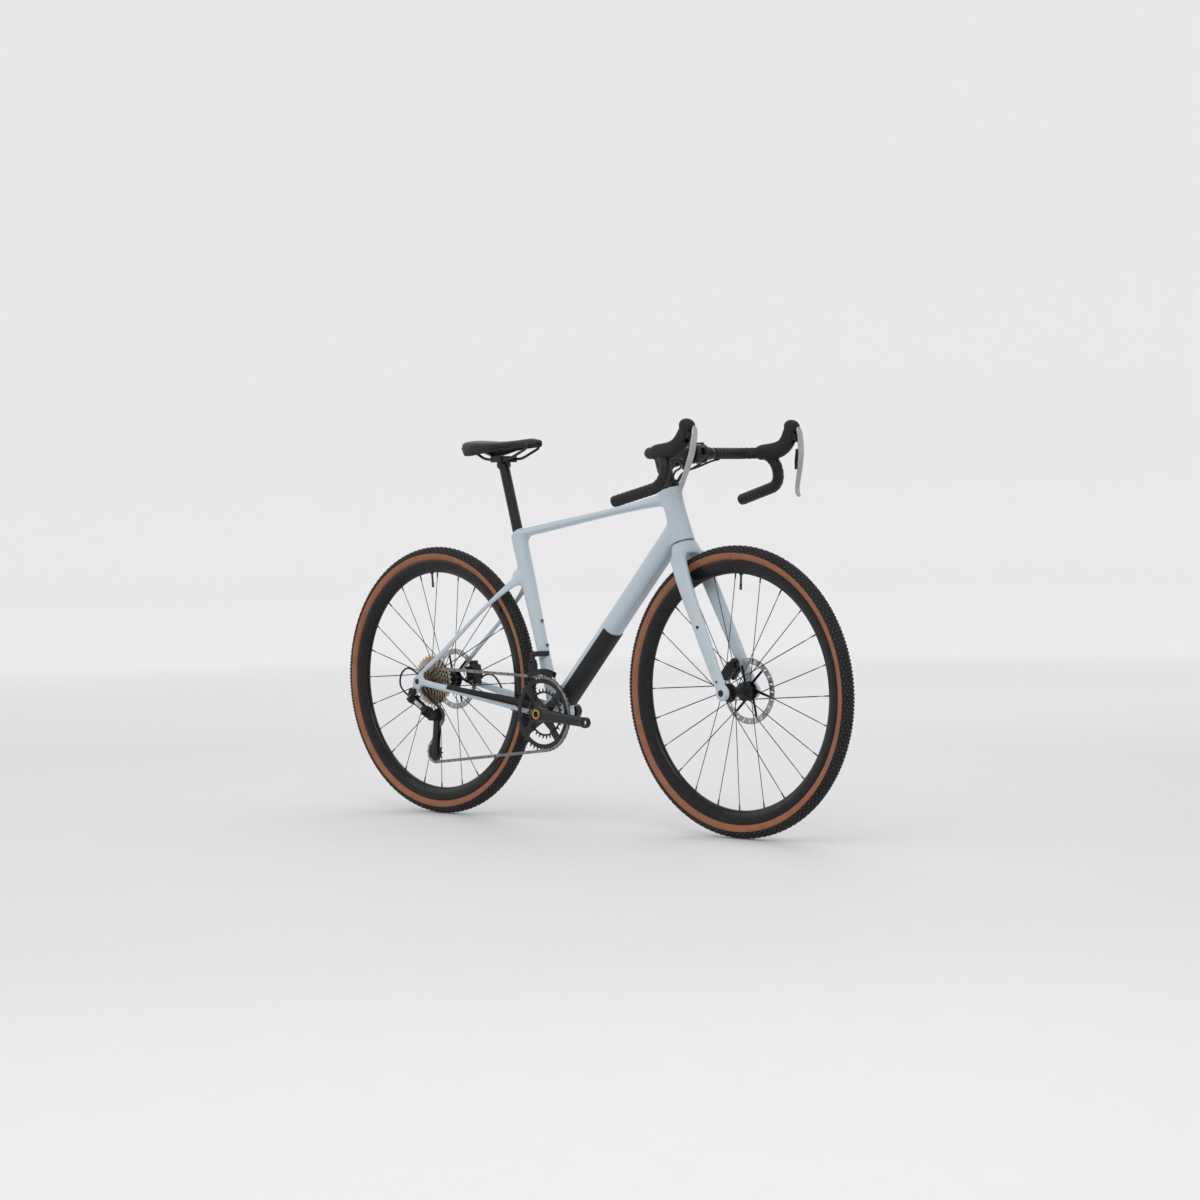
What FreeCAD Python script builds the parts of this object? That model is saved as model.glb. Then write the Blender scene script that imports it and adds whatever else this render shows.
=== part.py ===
import FreeCAD, Part
import math
import os
import re
import Sketcher
from FreeCAD import Placement, Rotation, Vector

# Gravel bike. X points forward, Y to the rider's left, Z up, in millimetres and degrees.
# The origin is where the rear tyre meets the ground. The drive side is at negative Y.

# Driving dimensions
sizes = {
    # layout
    "wheelBase": 1045, "tyreRadius": 351, "chainStayLength": 436, "bracketDrop": 71, "headAngle": 72,
    "seatAngle": 74.5, "forkRake": 50, "forkLength": 391, "headTubeLength": 138, "crownGap": 1.2,
    "runFit": 0.05, "sideGap": 0.2, "seatGap": 0.3, "overrun": 40, "ringPoints": 12, "roundPower": 2,
    "softPower": 2.4, "boxPower": 2.7, "arcShare": 0.45, "circleTurn": 360,
    # head tube
    "headLowHalf": 30, "headWaistHalf": 26, "headTopHalf": 28, "steerSpaceRadius": 21, "bearingRadius": 25,
    "bearingHeight": 8, "steererRadius": 14.3, "raceRadius": 19,
    # top tube
    "topTubeDrop": 22.5, "topTubeSeatReach": 470, "topTubeHalfWide": 19, "topTubeHalfTall": 10.5,
    "topTubeHeadHalfTall": 18, "topTubeHeadHalfWide": 22,
    # seat tube
    "seatTubeReach": 500, "seatTubeHalfTop": 20, "seatTubeHalfMid": 17.2, "seatTubeHalfLow": 20,
    "seatCutReach": 476, "seatCutSlope": 38, "postRadius": 13.6, "postInsertion": 130, "postFit": 0.06,
    "postTravel": 70,
    # down tube
    "downTubeHeadRise": 40, "crownRoomRadius": 38, "downTubeHalfWide": 27, "downTubeHalfDeep": 26,
    "downTubeLowHalfWide": 31,
    # bottom bracket
    "shellRadius": 25, "shellWidth": 84, "cupRadius": 20.5, "cupLip": 1.5, "cupLipRadius": 23,
    "spindleRadius": 12,
    # rear triangle
    "stayTopReach": 362, "stayTopHalfWide": 20, "stayBendBack": 62, "stayBendHalfWidth": 39,
    "stayHalfThick": 6.5, "stayHalfTall": 9, "stayTopHalfTall": 17, "stayKneeShare": 1.2,
    "yokeBackShare": 0.55, "yokeWideShare": 1.35, "yokeTallShare": 0.8, "dropoutInner": 71,
    "dropoutThick": 8, "dropoutRadius": 16, "dropoutLift": 18, "chainStayHalfWidth": 33,
    "chainStayBendReach": 118, "chainStayMidReach": 210, "chainStayMidHalfWidth": 47,
    "chainStayHalfThick": 6.5, "chainStayHalfTall": 16, "chainStayEndHalfTall": 10, "axleRadius": 6,
    "axleHeadRadius": 9, "axleHeadThick": 3,
    # guards on the frame
    "guardThick": 1.6, "guardStart": 52, "guardEnd": 296, "guardTopShare": 0.12, "stayGuardThick": 1.2,
    "stayGuardStart": 40, "stayGuardEnd": 330,
    # fittings
    "wedgeLength": 34, "wedgeThick": 6, "wedgeWidth": 16, "wedgeSeat": 1.5, "bossRadius": 2.5,
    "bossHeadRadius": 4.2, "bossHeadThick": 2.5, "bossDepth": 10, "seatBossLow": 172, "bossSpacing": 64,
    "downBossLow": 230, "hangerThick": 7, "hangerHalfWide": 11, "hangerBoltRadius": 5,
    # fork
    "crownHalfWide": 55, "crownHalfDeep": 25, "crownDrop": 44, "legSpread": 43, "legTopHalfWide": 14,
    "legTopHalfDeep": 24, "kneeDropShare": 0.7, "legFootShare": 0.85, "forkInner": 50, "forkEndThick": 11,
    "forkEndRadius": 16, "wheelRoom": 9, "wheelRoomHalfWide": 27, "steererLength": 220,
    # headset cover, spacers and stem
    "coverHeight": 17, "coverTopHalf": 23, "spacerHeight": 9, "spacerCount": 3, "spacerRadius": 18,
    "stemLength": 111, "stemRise": 12, "stemClampHeight": 40, "stemClampRadius": 19, "stemBodyHalfWide": 16,
    "stemBodyHalfTall": 17, "stemRootWideShare": 0.9, "stemRootTallShare": 0.46, "stemWaistShare": 0.45,
    "capHeight": 5, "capRadius": 18, "faceWidth": 44, "faceThick": 8, "faceGap": 1.6, "faceBoltSpread": 15,
    "faceBoltRise": 21, "boltRadius": 2.5, "boltHeadRadius": 4, "boltLength": 16,
    # handlebar and tape
    "barClampRadius": 15.9, "barRadius": 11.9, "barBulgeHalf": 46, "barCornerHalf": 184, "barReach": 84,
    "barFlareTop": 7, "barDrop": 119, "barFlareLow": 22, "barEndBack": 157, "barEndFlare": 17,
    "barEndLift": 3, "barCornerBend": 40, "barHookBend": 46, "barDropBend": 66, "tapeThick": 2.8,
    "tapeStart": 62, "tapeFit": 0.05, "plugLength": 4, "plugRadius": 13.6,
    # brake and shift levers
    "hoodHalfWide": 18.5, "hoodHalfTall": 19, "hoodWall": 2.4, "leverLean": 9.5, "leverReach": 70,
    "leverRise": 38, "leverOut": 6, "leverLength": 146, "leverSweep": 20, "leverHalfWide": 7.5,
    "leverHalfThick": 4, "carrierRadius": 6.5, "carrierHalf": 7, "pinRadius": 2, "cheekThick": 4,
    "cheekGap": 0.4, "carrierDrop": 14, "swingPinDrop": 11, "swingPinHalf": 6, "paddleLength": 46,
    "paddleHalfWide": 8, "paddleHalfThick": 1.8, "paddleBack": 9, "neckShare": 2, "slotShare": 3,
    "swingAheadShare": 0.5, "armAheadShare": 0.1, "armWideShare": 0.7, "armRoomShare": 2.2,
    "collarBackShare": 0.4, "paddleDropShare": 0.24, "paddleInShare": 0.2, "paddleTopShare": 0.6,
    "paddleWaistShare": 0.6, "paddleLowShare": 0.8, "paddleHingeShare": 1.6, "paddleRoomShare": 0.2,
    # hoses
    "hoseRadius": 2.5, "hoseInset": 20, "hoseSwell": 1, "hoseEntryRise": 6, "hoseEntryRadius": 20,
    "hoseLead": 30, "hoseEntryLean": 33, "innerHoseRoll": 0, "innerHoseBack": 22, "innerHoseDrop": 34,
    "innerHoseSpread": 26, "innerHoseTurn": 22, "outerHoseRoll": 55, "outerHoseBack": 40,
    "outerHoseDrop": 34, "outerHoseSpread": 36, "outerHoseTurn": 52,
    # wheels
    "tyreSection": 21, "treadDepth": 2.6, "casingWall": 1.8, "treadHalfAngle": 78, "rimRadius": 317,
    "rimInnerRadius": 283, "rimWidth": 30, "rimWall": 1.6, "rimBulgeRadius": 306, "rimShoulderRadius": 291,
    "rimShoulderWidth": 21, "rimNoseWidth": 9, "rimSeatRadius": 311.5, "rimWellDepth": 4,
    "rimWellWidth": 12, "beadThick": 3.2, "spokeRadius": 1.0, "spokePairs": 12, "spokeRimOffset": 2.4,
    "spokeFlangeOffset": 2.0, "spokeSink": 3, "crossAngle": 58, "valveRadius": 2.6, "valveLength": 38,
    "valveNutRadius": 5, "valveNutThick": 3, "valveCapRadius": 3.2, "valveCapLength": 14,
    "frontValveAngle": 87, "rearValveAngle": 95,
    # hubs
    "hubCapRadius": 9.5, "hubBarrelRadius": 12, "hubFlangeRadius": 23, "hubFlangeHalf": 2.2,
    "hubSplineRadius": 18, "frontFlangeRight": 33, "frontFlangeLeft": 21, "frontRotorPlace": 39.4,
    "rearFlangeRight": 18.5, "rearFlangeLeft": 34, "rearRotorPlace": 55.3, "rearHubRight": 22, "hubNeck": 4,
    # brake rotors and calipers
    "rotorRadius": 80, "rotorTrack": 15, "rotorThick": 1.8, "rotorHubRadius": 24, "rotorArmWidth": 6,
    "rotorArmCount": 6, "rotorSlotCount": 24, "rotorSlotWidth": 3, "rotorSlotLength": 9,
    "rotorRootShare": 0.8, "armSweepShare": 1.5, "armEndShare": 2.5, "armRootShare": 0.2,
    "caliperLength": 62, "caliperWidth": 34, "caliperDeep": 27, "caliperReach": 73,
    "caliperBodyShare": 0.62, "caliperLiftShare": 0.22, "caliperFootShare": 0.5,
    "caliperFootWideShare": 0.6, "pistonShare": 0.8, "padSinkShare": 0.14, "padThick": 3.4, "padLength": 24,
    "padDeep": 12, "padGap": 0.35, "slotRise": 1.4, "frontCaliperAngle": 140, "rearCaliperAngle": 14,
    # chain, rings and sprockets
    "chainPitch": 12.7, "rollerRadius": 3.85, "innerHalfTall": 3.7, "linkGap": 2.3, "innerPlate": 0.7,
    "outerPlate": 0.75, "outerHalfTall": 3.9, "bigRingTeeth": 46, "smallRingTeeth": 30,
    "bigRingPlace": 49.5, "ringSpacing": 7, "ringThick": 1.7, "ringTip": 3.2, "ringRoot": 4.15,
    "ringBand": 16, "smallRingBand": 9, "tipHalf": 1, "rootHalf": 3.3, "boltCircle": 55, "tabHalfWide": 11,
    "innerBoltCircle": 40, "smallTabHalf": 8, "ringBoltRadius": 5, "ringShankRadius": 4, "linkEndShare": 0.41,
    "linkMouthShare": 0.42, "cogPitch": 3.65, "cogThick": 1.6, "cogTip": 2.9, "usedCog": 5,
    "usedCogPlace": 47.5, "freehubRadius": 17.2, "spacerRing": 20, "lockRingRadius": 15.5, "guideTeeth": 11,
    "tensionTeeth": 13, "pulleyThick": 1.7, "pulleyBore": 4,
    # cranks
    "crankLength": 170, "crankAngle": -5, "crankHubRadius": 19, "crankHubPlace": 54, "crankHubWidth": 20,
    "crankEyeRadius": 14, "crankEyePlace": 63, "crankEyeWidth": 13, "crankHalfWide": 15,
    "crankHalfThick": 6.5, "pedalThreadRadius": 7.1, "spindleBore": 9.5, "spiderThick": 4.2,
    "spiderHalfWide": 9, "spiderCount": 4, "crankCapRadius": 11,
    # rear derailleur
    "guideForward": 38, "guideDrop": 90, "cageLength": 96, "cageAngle": -3, "cageSearch": 25,
    "cageEyeShare": 1.5, "cagePlateThick": 1.6, "cageGap": 4.4, "cageHalfWide": 9, "knuckleRadius": 12,
    "knuckleWidth": 22, "linkSlope": 32, "linkSlant": 20, "linkLength": 58, "linkThick": 5,
    "linkHalfTall": 8, "linkSpacing": 17, "linkPinRadius": 2.5, "linkPinFit": 0.06, "linkEyeRadius": 6,
    "hingeGap": 0.3, "mountDrop": 27, "mountBack": 9, "mountRadius": 10, "mountWidth": 12,
    "mountArmShare": 1.4, "bridgeBackShare": 0.7, "bridgeLongShare": 1.6, "cheekAheadShare": 0.8,
    "cheekLongShare": 2.4, "tieAheadShare": 1.7,
    # front derailleur
    "frontCageTall": 15, "frontCageThick": 1.3, "frontCageRoom": 1.6, "frontCageHalf": 5.6,
    "frontCageStart": 66, "frontCageEnd": 116, "frontLinkLength": 16, "frontLinkHalf": 6,
    "frontLinkThick": 6, "frontPinRadius": 2, "frontEyeRadius": 4.6, "frontEarThick": 4, "frontArmGap": 2,
    "frontPivotBack": 32, "frontPivotRise": 132, "frontArmTall": 13,
    # seatpost and saddle
    "postReach": 655, "postHeadRadius": 11, "postHeadHalf": 15, "railRadius": 3.5, "railHalfSpread": 22,
    "railStraightHalf": 44, "railRise": 24, "railBend": 60, "clampHalfLength": 19, "clampHalfTall": 8,
    "clampFit": 0.06, "clampGap": 0.4, "clampEdge": 4, "clampBoltRadius": 3, "saddleLength": 256,
    "saddleHalfWide": 72, "saddleNoseAhead": 138, "saddleTop": 62, "saddleDeep": 30, "saddleShellThick": 3,
    "saddleChannel": 3.5, "channelShare": 0.1, "clampBoltShare": 0.7,
}

doc = FreeCAD.newDocument("gravel_bike")
sheet = doc.addObject("Spreadsheet::Sheet", "Sizes")
for row, (alias, value) in enumerate(sizes.items(), start=1):
    sheet.set(f"A{row}", alias)
    sheet.set(f"B{row}", str(value))
    sheet.setAlias(f"B{row}", alias)
doc.recompute()


class SheetSizes:
    def __getattr__(self, alias):
        return float(sheet.get(alias))


d = SheetSizes()
nodes = {}
acrossY = Vector(0, 1, 0)
upZ = Vector(0, 0, 1)
aheadX = Vector(1, 0, 0)
rightSide = -1
leftSide = 1
bothSides = (rightSide, leftSide)


# Document objects

def keep(label, shape):
    """A sub-part whose shape is built from the sheet's sizes."""
    item = doc.addObject("Part::Feature", label)
    item.Label = label
    item.Shape = shape
    item.Placement = Placement()
    nodes[label] = item
    return shape


def group(label, shapes):
    return keep(label, Part.makeCompound(shapes))


def bound(text):
    return re.sub(r"[A-Za-z]\w*", lambda word: f"Sizes.{word[0]}" if word[0] in sizes else word[0], text)


def worth(text):
    return float(sheet.evalExpression(bound(text)))


def newBody(label):
    body = doc.addObject("PartDesign::Body", label)
    body.Label = label
    nodes[label] = body
    return body


def newSketch(body, role):
    sketch = body.newObject("Sketcher::SketchObject", f"{body.Name}_sketch")
    plane = next(feature for feature in body.Origin.OriginFeatures if feature.Role == role)
    sketch.AttachmentSupport = [(plane, "")]
    sketch.MapMode = "FlatFace"
    return sketch


def bindPoint(sketch, geometry, point, place):
    for kind, text in zip(("DistanceX", "DistanceY"), place):
        index = sketch.addConstraint(Sketcher.Constraint(kind, -1, 1, geometry, point, worth(text)))
        sketch.setExpression(f"Constraints[{index}]", bound(text))


def drawOutline(sketch, places):
    points = [Vector(worth(x), worth(y), 0) for x, y in places]
    first = sketch.GeometryCount
    count = len(points)
    for i in range(count):
        sketch.addGeometry(Part.LineSegment(points[i], points[(i + 1) % count]), False)
    for i in range(count):
        sketch.addConstraint(Sketcher.Constraint("Coincident", first + i, 2, first + (i + 1) % count, 1))
    for i in range(count):
        bindPoint(sketch, first + i, 1, places[i])


def drawCircle(sketch, place, radius):
    centre = Vector(worth(place[0]), worth(place[1]), 0)
    index = sketch.addGeometry(Part.Circle(centre, upZ, worth(radius)), False)
    bindPoint(sketch, index, 3, place)
    size = sketch.addConstraint(Sketcher.Constraint("Radius", index, worth(radius)))
    sketch.setExpression(f"Constraints[{size}]", bound(radius))


def addPad(body, sketch, thick):
    pad = body.newObject("PartDesign::Pad", f"{body.Name}_pad")
    pad.Profile = sketch
    pad.setExpression("Length", bound(thick))
    pad.Midplane = True
    body.Tip = pad
    doc.recompute()
    return pad


def addPattern(body, feature, sketch, count):
    pattern = body.newObject("PartDesign::PolarPattern", f"{body.Name}_pattern")
    pattern.Originals = [feature]
    pattern.Axis = (sketch, ["N_Axis"])
    pattern.setExpression("Angle", bound("circleTurn"))
    pattern.setExpression("Occurrences", bound(count))
    body.Tip = pattern
    doc.recompute()
    return pattern


def turnedBody(label, outline, centre, axis):
    """A body turned on its local Z axis, which is then laid along the given axis."""
    body = newBody(label)
    sketch = newSketch(body, "XZ_Plane")
    drawOutline(sketch, outline)
    turn = body.newObject("PartDesign::Revolution", f"{body.Name}_turn")
    turn.Profile = sketch
    turn.ReferenceAxis = (sketch, ["V_Axis"])
    turn.setExpression("Angle", bound("circleTurn"))
    body.Tip = turn
    body.Placement = Placement(centre, Rotation(upZ, axis))
    doc.recompute()
    return body


# Shapes

def unit(vector):
    return Vector(vector).normalize()


def mirrored(side, point):
    return Vector(point.x, side * point.y, point.z)


def ring(centre, along, halfWide, halfDeep, power):
    """A closed oval, square to its path, with its width as near to Y as it can be."""
    along = unit(along)
    across = unit(acrossY - along * acrossY.dot(along))
    deep = along.cross(across)
    count = int(d.ringPoints)
    points = []
    for step in range(count):
        turn = 2 * math.pi * step / count
        wide = math.copysign(abs(math.cos(turn)) ** (2 / power), math.cos(turn))
        tall = math.copysign(abs(math.sin(turn)) ** (2 / power), math.sin(turn))
        points.append(centre + across * (wide * halfWide) + deep * (tall * halfDeep))
    curve = Part.BSplineCurve()
    curve.interpolate(Points=points, PeriodicFlag=True)
    return Part.Wire(curve.toShape())


def loft(rings):
    return Part.makeLoft(rings, True, False)


def rod(start, end, radius):
    return Part.makeCylinder(radius, (end - start).Length, start, end - start)


def tubeRing(start, end, radius, bore):
    reach = unit(end - start) * d.overrun
    return rod(start, end, radius).cut(rod(start - reach, end + reach, bore))


def polygonPrism(points, thick):
    solid = Part.Face(Part.makePolygon(points + points[:1])).extrude(thick)
    if solid.Volume < 0:
        solid.reverse()
    return solid


def slab(centre, along, up, length, tall, wide):
    """A block with its length along one direction, its height near another and its width square to both."""
    along = unit(along)
    across = unit(up.cross(along))
    up = along.cross(across)
    corner = centre - along * (length / 2) - across * (wide / 2) - up * (tall / 2)
    far = corner + along * length
    points = [corner, far, far + across * wide, corner + across * wide]
    return polygonPrism(points, up * tall)


def roundedPath(points, radii):
    """Straight runs joined by tangent arcs."""
    edges = []
    start = points[0]
    for corner, after, radius in zip(points[1:-1], points[2:], radii):
        back = unit(start - corner)
        ahead = unit(after - corner)
        half = back.getAngle(ahead) / 2
        reach = radius / math.tan(half)
        middle = unit(back + ahead)
        first = corner + back * reach
        last = corner + ahead * reach
        crest = corner + middle * (radius / math.sin(half) - radius)
        edges.append(Part.LineSegment(start, first).toShape())
        edges.append(Part.Arc(first, crest, last).toShape())
        start = last
    edges.append(Part.LineSegment(start, points[-1]).toShape())
    return Part.Wire(edges)


def cordPath(points):
    """A route whose arcs are as large as the runs beside them allow."""
    radii = []
    for before, corner, after in zip(points, points[1:], points[2:]):
        run = min((corner - before).Length, (after - corner).Length)
        turn = (corner - before).getAngle(after - corner)
        radii.append(d.arcShare * run / math.tan(turn / 2))
    print("cord radii", [round(radius, 1) for radius in radii])
    return roundedPath(points, radii)


def tube(path, radius):
    edge = path.Edges[0]
    start = edge.valueAt(edge.FirstParameter)
    circle = Part.Wire(Part.makeCircle(radius, start, edge.tangentAt(edge.FirstParameter)))
    return path.makePipeShell([circle], True, False)


# Main points
headTilt = math.radians(d.headAngle)
seatTilt = math.radians(d.seatAngle)
steerUp = Vector(-math.cos(headTilt), 0, math.sin(headTilt))
steerAhead = Vector(math.sin(headTilt), 0, math.cos(headTilt))
seatUp = Vector(-math.cos(seatTilt), 0, math.sin(seatTilt))
seatAhead = Vector(math.sin(seatTilt), 0, math.cos(seatTilt))
rearAxle = Vector(0, 0, d.tyreRadius)
frontAxle = Vector(d.wheelBase, 0, d.tyreRadius)
bracket = Vector(math.sqrt(d.chainStayLength ** 2 - d.bracketDrop ** 2), 0, d.tyreRadius - d.bracketDrop)
crown = frontAxle - steerAhead * d.forkRake + steerUp * d.forkLength
headLow = crown + steerUp * d.crownGap
headTop = headLow + steerUp * d.headTubeLength
downTubeHead = headLow + steerUp * d.downTubeHeadRise
downAlong = unit(downTubeHead - bracket)
topTubeHead = headTop - steerUp * d.topTubeDrop
topTubeSeat = bracket + seatUp * d.topTubeSeatReach


# Frame

def downTubeRings(grow):
    length = (downTubeHead - bracket).Length
    stationShares = ((0.0, 1.0, 1.0), (0.3, 0.35, 1.0), (0.7, 0.0, 1.0), (1.0, 0.0, 1.04))
    rings = []
    for along, lowShare, deepShare in stationShares:
        wide = d.downTubeHalfWide + (d.downTubeLowHalfWide - d.downTubeHalfWide) * lowShare
        centre = bracket + downAlong * (length * along)
        rings.append(ring(centre, downAlong, wide + grow, d.downTubeHalfDeep * deepShare + grow, d.softPower))
    return rings


def seatTubeShape():
    stationShares = (
        (0.0, d.seatTubeHalfLow),
        (0.5, d.seatTubeHalfMid),
        (0.8, d.seatTubeHalfTop),
    )
    rings = []
    for share, half in stationShares:
        rings.append(ring(bracket + seatUp * (d.seatTubeReach * share), seatUp, half, half, d.roundPower))
    rings.append(ring(seatTubeTop(), seatUp, d.seatTubeHalfTop, d.seatTubeHalfTop, d.roundPower))
    return loft(rings)


def seatTubeTop():
    """The seat tube's end before the slanted cut."""
    return bracket + seatUp * (d.seatCutReach + d.seatTubeHalfTop)


def topTubeShape():
    along = topTubeHead - topTubeSeat
    stationShares = (
        (0.0, d.topTubeHalfWide, d.topTubeHalfTall),
        (0.3, d.topTubeHalfWide, d.topTubeHalfTall),
        (0.75, d.topTubeHalfWide, d.topTubeHalfTall),
        (1.0, d.topTubeHeadHalfWide, d.topTubeHeadHalfTall),
    )
    rings = []
    for share, wide, tall in stationShares:
        rings.append(ring(topTubeSeat + along * share, along, wide, tall, d.softPower))
    return loft(rings)


def headTubeShape():
    stationShares = ((0.0, d.headLowHalf), (0.5, d.headWaistHalf), (1.0, d.headTopHalf))
    rings = []
    for share, half in stationShares:
        rings.append(ring(headLow + steerUp * (d.headTubeLength * share), steerUp, half, half, d.roundPower))
    return loft(rings)


def seatTopCut():
    """The slanted face that ends the seat tube behind the top tube."""
    slope = math.radians(d.seatCutSlope)
    along = Vector(math.cos(slope), 0, math.sin(slope))
    up = Vector(-math.sin(slope), 0, math.cos(slope))
    reach = d.seatTubeHalfTop + d.overrun
    centre = bracket + seatUp * d.seatCutReach + up * reach
    return slab(centre, along, up, 2 * reach, 2 * reach, 2 * reach)


def steerBore():
    bore = rod(headLow - steerUp * d.overrun, headTop + steerUp * d.overrun, d.steerSpaceRadius)
    lowSeat = rod(headLow - steerUp * d.overrun, headLow + steerUp * d.bearingHeight, d.bearingRadius)
    topSeat = rod(headTop - steerUp * d.bearingHeight, headTop + steerUp * d.overrun, d.bearingRadius)
    crownRoom = rod(headLow - steerUp * d.overrun, headLow, d.crownRoomRadius)
    return bore.fuse([lowSeat, topSeat, crownRoom])


def bossPlaces():
    """Bottle bosses: two on the seat tube's front, two on the down tube's top."""
    places = []
    for step in range(2):
        reach = d.seatBossLow + d.bossSpacing * step
        places.append((bracket + seatUp * reach + seatAhead * d.seatTubeHalfMid, seatAhead))
    downUp = Vector(-downAlong.z, 0, downAlong.x)
    for step in range(2):
        reach = d.downBossLow + d.bossSpacing * step
        places.append((bracket + downAlong * reach + downUp * d.downTubeHalfDeep, downUp))
    return places


def shellEnds(half):
    return bracket - acrossY * half, bracket + acrossY * half


def frontTriangle():
    shell = rod(*shellEnds(d.shellWidth / 2), d.shellRadius)
    solid = headTubeShape().fuse([topTubeShape(), seatTubeShape(), loft(downTubeRings(0)), shell])
    postFoot = bracket + seatUp * (d.seatCutReach - d.postInsertion - d.postTravel)
    postHole = rod(postFoot, seatTubeTop() + seatUp * d.overrun, d.postRadius + d.postFit)
    shellHole = rod(*shellEnds(d.shellWidth / 2 + d.overrun), d.cupRadius)
    rooms = [steerBore(), postHole, shellHole, seatTopCut(), wedgeShape()]
    for place, out in bossPlaces():
        rooms.append(rod(place - out * d.bossDepth, place + out * d.overrun, d.bossRadius))
    return keep("front_triangle", solid.cut(rooms))


def wedgeShape():
    """The wedge that pinches the seatpost from the front, inside the frame's top."""
    reach = d.seatCutReach - d.wedgeLength / 2
    centre = bracket + seatUp * reach + seatAhead * (d.postRadius - d.wedgeSeat + d.wedgeThick / 2)
    return slab(centre, seatUp, seatAhead, d.wedgeLength, d.wedgeThick, d.wedgeWidth)


def wheelSpace(axle):
    """The room kept clear around a tyre."""
    half = acrossY * d.wheelRoomHalfWide
    return rod(axle - half, axle + half, d.tyreRadius + d.wheelRoom)


def staySeat():
    return bracket + seatUp * d.stayTopReach


def dropoutCentre(side):
    return rearAxle + acrossY * (side * (d.dropoutInner + d.dropoutThick / 2))


def seatStays(front):
    top = staySeat()
    end = dropoutCentre(leftSide) + upZ * d.dropoutLift
    bend = Vector(top.x - d.stayBendBack, d.stayBendHalfWidth, 0)
    bend.z = top.z + (end.z - top.z) * (top.x - bend.x) / (top.x - end.x)
    middle = (bend + end) / 2
    solids = []
    for side in bothSides:
        start = mirrored(side, top + acrossY * (d.stayTopHalfWide / 2))
        knee = mirrored(side, bend)
        half = mirrored(side, middle)
        foot = mirrored(side, end)
        rings = [
            ring(start, knee - start, d.stayTopHalfWide / 2, d.stayTopHalfTall, d.softPower),
            ring(knee, half - start, d.stayHalfThick, d.stayHalfTall * d.stayKneeShare, d.softPower),
            ring(half, foot - knee, d.stayHalfThick, d.stayHalfTall, d.softPower),
            ring(foot, foot - half, d.dropoutThick / 2, d.stayHalfTall, d.softPower),
        ]
        solids.append(loft(rings))
    yokeEnd = top - aheadX * (d.stayBendBack * d.yokeBackShare)
    endWide = d.stayTopHalfWide * d.yokeWideShare
    endTall = d.stayTopHalfTall * d.yokeTallShare
    yoke = loft([
        ring(top, aheadX, d.stayTopHalfWide, d.stayTopHalfTall, d.boxPower),
        ring(yokeEnd, aheadX, endWide, endTall, d.boxPower),
    ])
    stays = solids[0].fuse([solids[1], yoke])
    return largest(stays.cut([front, seatTubeShape(), wheelSpace(rearAxle)]), 1)[0]


def chainStayRings(side, grow):
    end = dropoutCentre(side)
    along = unit(Vector(end.x - bracket.x, 0, end.z - bracket.z))
    thick = d.chainStayHalfThick + grow
    tall = d.chainStayHalfTall + grow
    mouth = bracket + acrossY * (side * d.chainStayHalfWidth)
    bend = bracket + along * d.chainStayBendReach + acrossY * (side * d.chainStayHalfWidth)
    middle = bracket + along * d.chainStayMidReach + acrossY * (side * d.chainStayMidHalfWidth)
    lead = end - along * d.dropoutRadius
    return [
        ring(mouth, along, thick, tall, d.softPower),
        ring(bend, along, thick, tall, d.softPower),
        ring(middle, end - bend, thick, (tall + d.chainStayEndHalfTall + grow) / 2, d.softPower),
        ring(lead, along, d.dropoutThick / 2 + grow, d.chainStayEndHalfTall + grow, d.softPower),
    ]


def dropout(side):
    inner = rearAxle + acrossY * (side * d.dropoutInner)
    return rod(inner, inner + acrossY * (side * d.dropoutThick), d.dropoutRadius)


def rearTriangle(front):
    reach = acrossY * (d.dropoutInner + d.overrun)
    axleHole = rod(rearAxle - reach, rearAxle + reach, d.axleRadius + d.runFit)
    shellRoom = rod(*shellEnds(d.shellWidth), d.shellRadius)
    stays = []
    for side in bothSides:
        stay = loft(chainStayRings(side, 0)).fuse(dropout(side))
        stays += largest(stay.cut([front, shellRoom, axleHole, wheelSpace(rearAxle)]), 1)
    lower = Part.makeCompound(stays)
    upper = seatStays(front).cut([lower, axleHole])
    keep("chain_stays", lower)
    keep("seat_stays", upper)
    return lower, upper


def frameGuards(front, lower):
    """A cover under the down tube and a strip on the drive-side chain stay."""
    downUp = Vector(-downAlong.z, 0, downAlong.x)
    skin = loft(downTubeRings(d.guardThick + d.sideGap)).cut(loft(downTubeRings(d.sideGap)))
    span = d.guardEnd - d.guardStart
    reach = d.downTubeHalfDeep + d.overrun
    level = d.downTubeHalfDeep * d.guardTopShare - reach
    centre = bracket + downAlong * (d.guardStart + span / 2) + downUp * level
    cover = skin.common(slab(centre, downAlong, downUp, span, 2 * reach, 4 * reach)).cut(front)
    end = dropoutCentre(rightSide)
    along = unit(Vector(end.x - bracket.x, 0, end.z - bracket.z))
    strip = loft(chainStayRings(rightSide, d.stayGuardThick + d.sideGap))
    strip = strip.cut([lower, loft(chainStayRings(rightSide, d.sideGap))])
    run = d.stayGuardEnd - d.stayGuardStart
    middle = bracket + along * (d.stayGuardStart + run / 2) + acrossY * (rightSide * d.chainStayMidHalfWidth)
    strip = strip.common(slab(middle + upZ * d.chainStayHalfTall, along, upZ, run,
                              2 * d.chainStayHalfTall, 2 * d.chainStayMidHalfWidth))
    shellRoom = rod(*shellEnds(d.shellWidth), d.shellRadius)
    group("frame_guards", largest(cover, 1) + largest(strip.cut([front, wheelSpace(rearAxle), shellRoom]), 1))


def largest(shape, count):
    return sorted(shape.Solids, key=lambda solid: -solid.Volume)[:count]


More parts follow.
